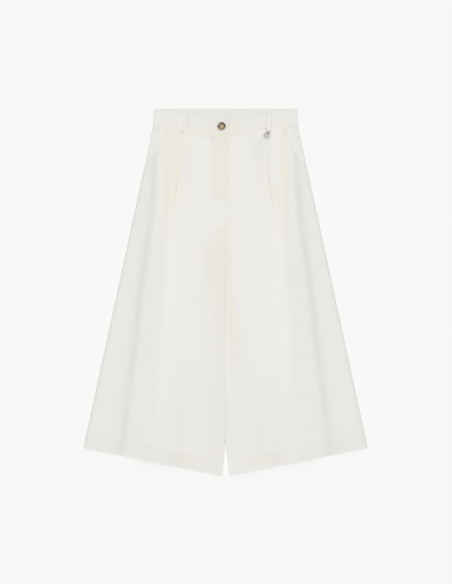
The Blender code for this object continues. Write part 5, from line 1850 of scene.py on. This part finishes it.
class MakeButton(bpy.types.Operator):
    """The four-hole horn button, and the thread that holds it."""

    bl_idname = "culottes.make_button"
    bl_label = "Button"

    def execute(self, context):
        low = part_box("button")[0].z
        work = bmesh.new()
        verts = [work.verts.new((share * BUTTON_RADIUS, 0, height))
                 for share, height in BUTTON_PROFILE]
        for pair in zip(verts, verts[1:]):
            work.edges.new(pair)
        disc = link(bpy.data.objects.new("disc", finished("disc", work)))
        screw = disc.modifiers.new("turn", "SCREW")
        screw.steps = 72
        screw.render_steps = 72
        screw.use_merge_vertices = True
        screw.merge_threshold = 0.00001
        disc.location = (*BUTTON_AT, low)
        disc = applied(disc)
        x, y = BUTTON_AT
        holes = [(x + i * BUTTON_HOLE_SPREAD, y + j * BUTTON_HOLE_SPREAD, low)
                 for i, j in BUTTON_CORNERS]
        disc = cut(disc, [cylinder(BUTTON_HOLE_RADIUS, 0.006, 24, hole) for hole in holes])
        disc = softened(disc, 0.00010, 2, 50)
        finished_piece(disc, "button_detail", horn_finish(context.scene.culottes_trims),
                       "garment", ["button"])
        self.thread(context.scene.culottes_cloth, low)
        return {"FINISHED"}

    def thread(self, look, low):
        """Strands through the holes in two bars, and turns wound round the shank."""
        x0, y0 = BUTTON_AT
        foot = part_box("button_thread")[0].z
        dish = low + BUTTON_PROFILE[0][1]
        spread, strand = BUTTON_HOLE_SPREAD, 0.00022
        under = low - 0.0001  # just under the button
        paths = []
        for i in (-1, 1):
            for k in (-1.5, -0.5, 0.5, 1.5):
                x = x0 + i * spread + k * strand * 1.5
                bow = 0.00055 + 0.00012 * (1.5 - abs(k))
                over = [(x, y0 + mix(-spread, spread, t), dish + bow * math.sin(math.pi * t) ** 0.4)
                        for t in np.linspace(0, 1, 9)]
                paths.append([(x, y0 - spread, under), *over, (x, y0 + spread, under)])
        steps = SHANK_TURNS * 20
        angles = [math.tau * SHANK_TURNS * k / steps for k in range(steps + 1)]
        paths.append([(x0 + SHANK_RADIUS * math.cos(angle), y0 + SHANK_RADIUS * math.sin(angle),
                       mix(foot + 0.0016, under, k / steps)) for k, angle in enumerate(angles)])
        for i, j in BUTTON_CORNERS:
            paths.append([(x0 + i * out, y0 + j * out, z) for out, z in
                          ((spread, under), (0.0007, low - 0.0004), (0.0006, foot))])
        material = thread_finish(look, (0.80, 0.72, 0.58))
        obj = threads("button_thread_strands", paths, strand, material)
        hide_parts("button_thread")


class MakeCharm(bpy.types.Operator):
    """A plain flat metal drop that swings on a thread tied to the cloth."""

    bl_idname = "culottes.make_charm"
    bl_label = "Charm"

    def execute(self, context):
        low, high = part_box("charm")
        joint = next(j for j in frame["joints"] if j["child"] == "charm")
        pivot = Vector(joint["pos_m"])
        to_eye = (EYE_RADIUS + EYE_HOLE) / 2
        curve = bpy.data.curves.new("drop", "CURVE")
        curve.dimensions = "2D"
        curve.fill_mode = "BOTH"
        curve.extrude = (high.z - low.z) / 2 - DROP_EDGE
        curve.bevel_depth = DROP_EDGE
        curve.bevel_resolution = 3
        spline = curve.splines.new("POLY")
        points = [(a, b - to_eye) for a, b in drop_outline(DROP_EDGE)]
        spline.points.add(len(points) - 1)
        for spot, (a, b) in zip(spline.points, points):
            spot.co = (a, b, 0, 1)
        spline.use_cyclic_u = True
        drop = link(bpy.data.objects.new("drop", curve))
        drop.location = pivot
        drop.rotation_euler.z = CHARM_TURN
        drop = joined("drop", [applied(drop)])
        work = bmesh.new()
        work.from_mesh(drop.data)
        bmesh.ops.remove_doubles(work, verts=work.verts, dist=0.000005)
        drop.data = finished("drop", work)
        turn = Matrix.Rotation(CHARM_TURN, 3, "Z")
        eye = pivot + turn @ Vector((0, -to_eye, 0))
        radius, depth = DROP_HOLLOW
        hollow = pivot + turn @ Vector((0, -to_eye - DROP_LENGTH, 0))
        hollow.z = high.z + radius - depth
        drop = cut(drop, [cylinder(EYE_HOLE, 0.004, 40, eye),
                          cylinder(radius, 2 * radius, 56, hollow)])
        drop = softened(drop, 0.00012, 2, 50)
        trims = context.scene.culottes_trims
        finished_piece(drop, "charm_drop", charm_finish(trims), "charm", ["charm"])
        self.tie(context.scene.culottes_cloth, pivot)
        return {"FINISHED"}

    def tie(self, look, pivot):
        """Three strands that arch over the rim of the eye and go down into the cloth."""
        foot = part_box("charm_thread")[0].z - pivot.z
        paths = []
        for beside in (-TIE_RADIUS * 1.7, 0, TIE_RADIUS * 1.7):
            arch = [(beside, -math.cos(a) * TIE_ARCH, math.sin(a) * TIE_ARCH)
                    for a in np.radians(range(0, 181, 12))]
            paths.append([(beside, -TIE_ARCH, foot), *arch, (beside, TIE_ARCH, foot)])
        obj = threads("charm_tie", paths, TIE_RADIUS, thread_finish(look), at=pivot,
                      turn=CHARM_TURN)
        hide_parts("charm_thread")


class MakeSewing(bpy.types.Operator):
    """Lines of stitches, bartacks and the buttonhole's edge."""

    bl_idname = "culottes.make_sewing"
    bl_label = "Sewing"

    def execute(self, context):
        thread = thread_finish(context.scene.culottes_cloth)
        self.bands(thread)
        self.fly(thread)
        self.pockets(thread)
        self.loops(thread)
        self.buttonhole(thread)
        return {"FINISHED"}

    def bands(self, thread):
        """Edge stitching along the top and foot of the waistband, in front and inside the back."""
        for side in (-1, 1):
            start = -BAND_LAP[1] + EDGE_STITCH if side < 0 else 0.010
            outs = np.linspace(start, WAIST_SEAM_OUT - 0.008, 80)
            lines = [np.stack([outs * side, waist_y(side, outs, edge) + inset], axis=-1)
                     for edge, inset in (("top", -EDGE_STITCH), ("seam", EDGE_STITCH))]
            if side < 0:
                lines.append(np.array([line[0] for line in lines]))
            stitched(f"waistband_stitch_{hand(side)}", lines, f"waistband_front_{hand(side)}",
                     thread)
            outs = np.linspace(0.001, WAIST_OUT - 0.006, 60)
            line = np.stack([outs * side, np.full_like(outs, TOP_Y - EDGE_STITCH)], axis=-1)
            stitched(f"waistband_inner_stitch_{hand(side)}", [line],
                     f"waistband_back_{hand(side)}", thread)

    def fly(self, thread):
        """The curved line that holds the fly facing, and the edge stitching below it."""
        turn = np.radians(np.linspace(0, 78, 14))
        top = waist_y(-1, FLY_STITCH_OUT, "seam") - 0.002
        reach = FLY_STITCH_OUT - 0.0015
        curve = [(-(FLY_STITCH_OUT - reach * (1 - math.cos(a))), 0.248 - 0.036 * math.sin(a))
                 for a in turn]
        line = np.array([(-FLY_STITCH_OUT, top), *curve])
        lines = [line] + bartack(-0.004, 0.2135, 0.006, math.radians(80))
        stitched("fly_stitch", lines, "front_right", thread)

    def pockets(self, thread):
        """Two rows along the pocket mouths, and a bartack at each end of them."""
        for side in (-1, 1):
            lines = []
            ys = np.linspace(WAIST_SEAM_Y - 0.008, MOUTH_END_Y + 0.006, 40)
            for inset in MOUTH_STITCHES:
                lines.append(np.stack([(mouth_out(ys) - inset) * side, ys], axis=-1))
            lean = math.atan2(mouth_out(MOUTH_END_Y) - MOUTH_TOP_OUT, WAIST_SEAM_Y - MOUTH_END_Y)
            for y in (WAIST_SEAM_Y - 0.010, MOUTH_END_Y + 0.008):
                middle = float(mouth_out(y)) - MOUTH_BARTACK_IN
                lines += bartack(middle * side, y, MOUTH_BARTACK, lean * side)
            stitched(f"pocket_stitch_{hand(side)}", lines, f"front_{hand(side)}", thread)

    def loops(self, thread):
        """Edge stitching along the front belt loops, and a bartack at each end."""
        for loop in LOOPS:
            if not loop.front:
                continue
            low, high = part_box(loop.name)
            lines = []
            ys = np.linspace(high.y - 0.0012, low.y + 0.0012, 20)
            middle = mix(loop.top_out, loop.foot_out, (high.y - ys) / (high.y - low.y))
            for d in (-1, 1):
                outs = middle + d * (LOOP_WIDTH / 2 - 0.0018)
                lines.append(np.stack([outs * loop.side, ys], axis=-1))
            for y, out in ((high.y - 0.0022, loop.top_out), (low.y + 0.0022, loop.foot_out)):
                lines += bartack(out * loop.side, y, LOOP_WIDTH - 0.0022, 0.0)
            stitched(f"{loop.name}_stitch", lines, loop.name, thread)

    def buttonhole(self, thread):
        """Close stitches round the buttonhole."""
        y0 = BUTTON_AT[1]
        lines = []
        for out in np.arange(*SLIT_OUT, BARTACK_PITCH):
            for side in (-1, 1):
                near = y0 + side * (slit_lip(out) + 0.0003)
                lines.append([(-out, near), (-out, near + side * 0.0016)])
        for k in range(6):
            y = y0 + (k - 2.5) * BARTACK_PITCH
            lines.append([(-SLIT_OUT[1] - 0.0002, y), (-SLIT_OUT[1] - 0.0018, y)])
        stitched("buttonhole_stitch", lines, "waistband_front_right", thread)


class MakeStage(bpy.types.Operator):
    """The floor, the lights and the camera straight above."""

    bl_idname = "culottes.make_stage"
    bl_label = "Studio"

    def execute(self, context):
        studio = context.scene.culottes_studio
        work = bmesh.new()
        bmesh.ops.create_grid(work, x_segments=8, y_segments=8, size=9)
        floor = link(bpy.data.objects.new("floor", finished("floor", work)))
        floor.location.z = -FLOOR_BELOW
        floor.data.materials.append(floor_finish(studio))

        world = bpy.data.worlds.new("studio_sky")
        world.use_nodes = True
        sky = world.node_tree.nodes["Background"]
        sky.inputs["Color"].default_value = (1.0, 1.0, 1.0, 1)
        sky.inputs["Strength"].default_value = studio.sky
        context.scene.world = world

        light = bpy.data.lights.new("softbox", "SUN")
        light.energy = studio.sun
        light.angle = studio.softness
        link(bpy.data.objects.new("softbox", light))

        camera = bpy.data.cameras.new("camera")
        camera.lens = studio.lens
        camera.sensor_width = 36
        camera.sensor_fit = "AUTO"
        camera.clip_end = 100
        made = link(bpy.data.objects.new("camera", camera))
        distance = studio.frame_height / 2 / (camera.sensor_width / 2 / camera.lens)
        made.location = (*CAMERA_AT, distance)
        context.scene.camera = made

        view = context.scene.view_settings
        view.view_transform = "Standard"
        view.look = "None"
        view.exposure = 0.0
        view.gamma = 1.0
        return {"FINISHED"}


class CulottesPanel(bpy.types.Panel):
    """Lists what makes the culottes, with their settings."""

    bl_idname = "VIEW3D_PT_culottes"
    bl_label = "Culottes"
    bl_space_type = "VIEW_3D"
    bl_region_type = "UI"
    bl_category = "Culottes"

    def draw(self, context):
        for operator in OPERATORS:
            self.layout.operator(operator.bl_idname)
        for group in (context.scene.culottes_cloth, context.scene.culottes_trims,
                      context.scene.culottes_studio):
            box = self.layout.box()
            for name in group.__annotations__:
                box.prop(group, name)


GROUPS = (CulottesCloth, CulottesTrims, CulottesStudio)
OPERATORS = (
    MakeBacks, MakePockets, MakeFly, MakeFronts, MakeWaistband, MakeLoops, MakeButton,
    MakeCharm, MakeSewing, MakeStage,
)


def register():
    for cls in (*GROUPS, *OPERATORS, CulottesPanel):
        bpy.utils.register_class(cls)
    scene = bpy.types.Scene
    scene.culottes_cloth = PointerProperty(type=CulottesCloth)
    scene.culottes_trims = PointerProperty(type=CulottesTrims)
    scene.culottes_studio = PointerProperty(type=CulottesStudio)


def unregister():
    del bpy.types.Scene.culottes_cloth
    del bpy.types.Scene.culottes_trims
    del bpy.types.Scene.culottes_studio
    for cls in reversed((*GROUPS, *OPERATORS, CulottesPanel)):
        bpy.utils.unregister_class(cls)


def main():
    register()
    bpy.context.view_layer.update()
    for operator in OPERATORS:
        group, name = operator.bl_idname.split(".")
        getattr(getattr(bpy.ops, group), name)()
    bpy.context.view_layer.update()


if __name__ == "__main__":
    main()
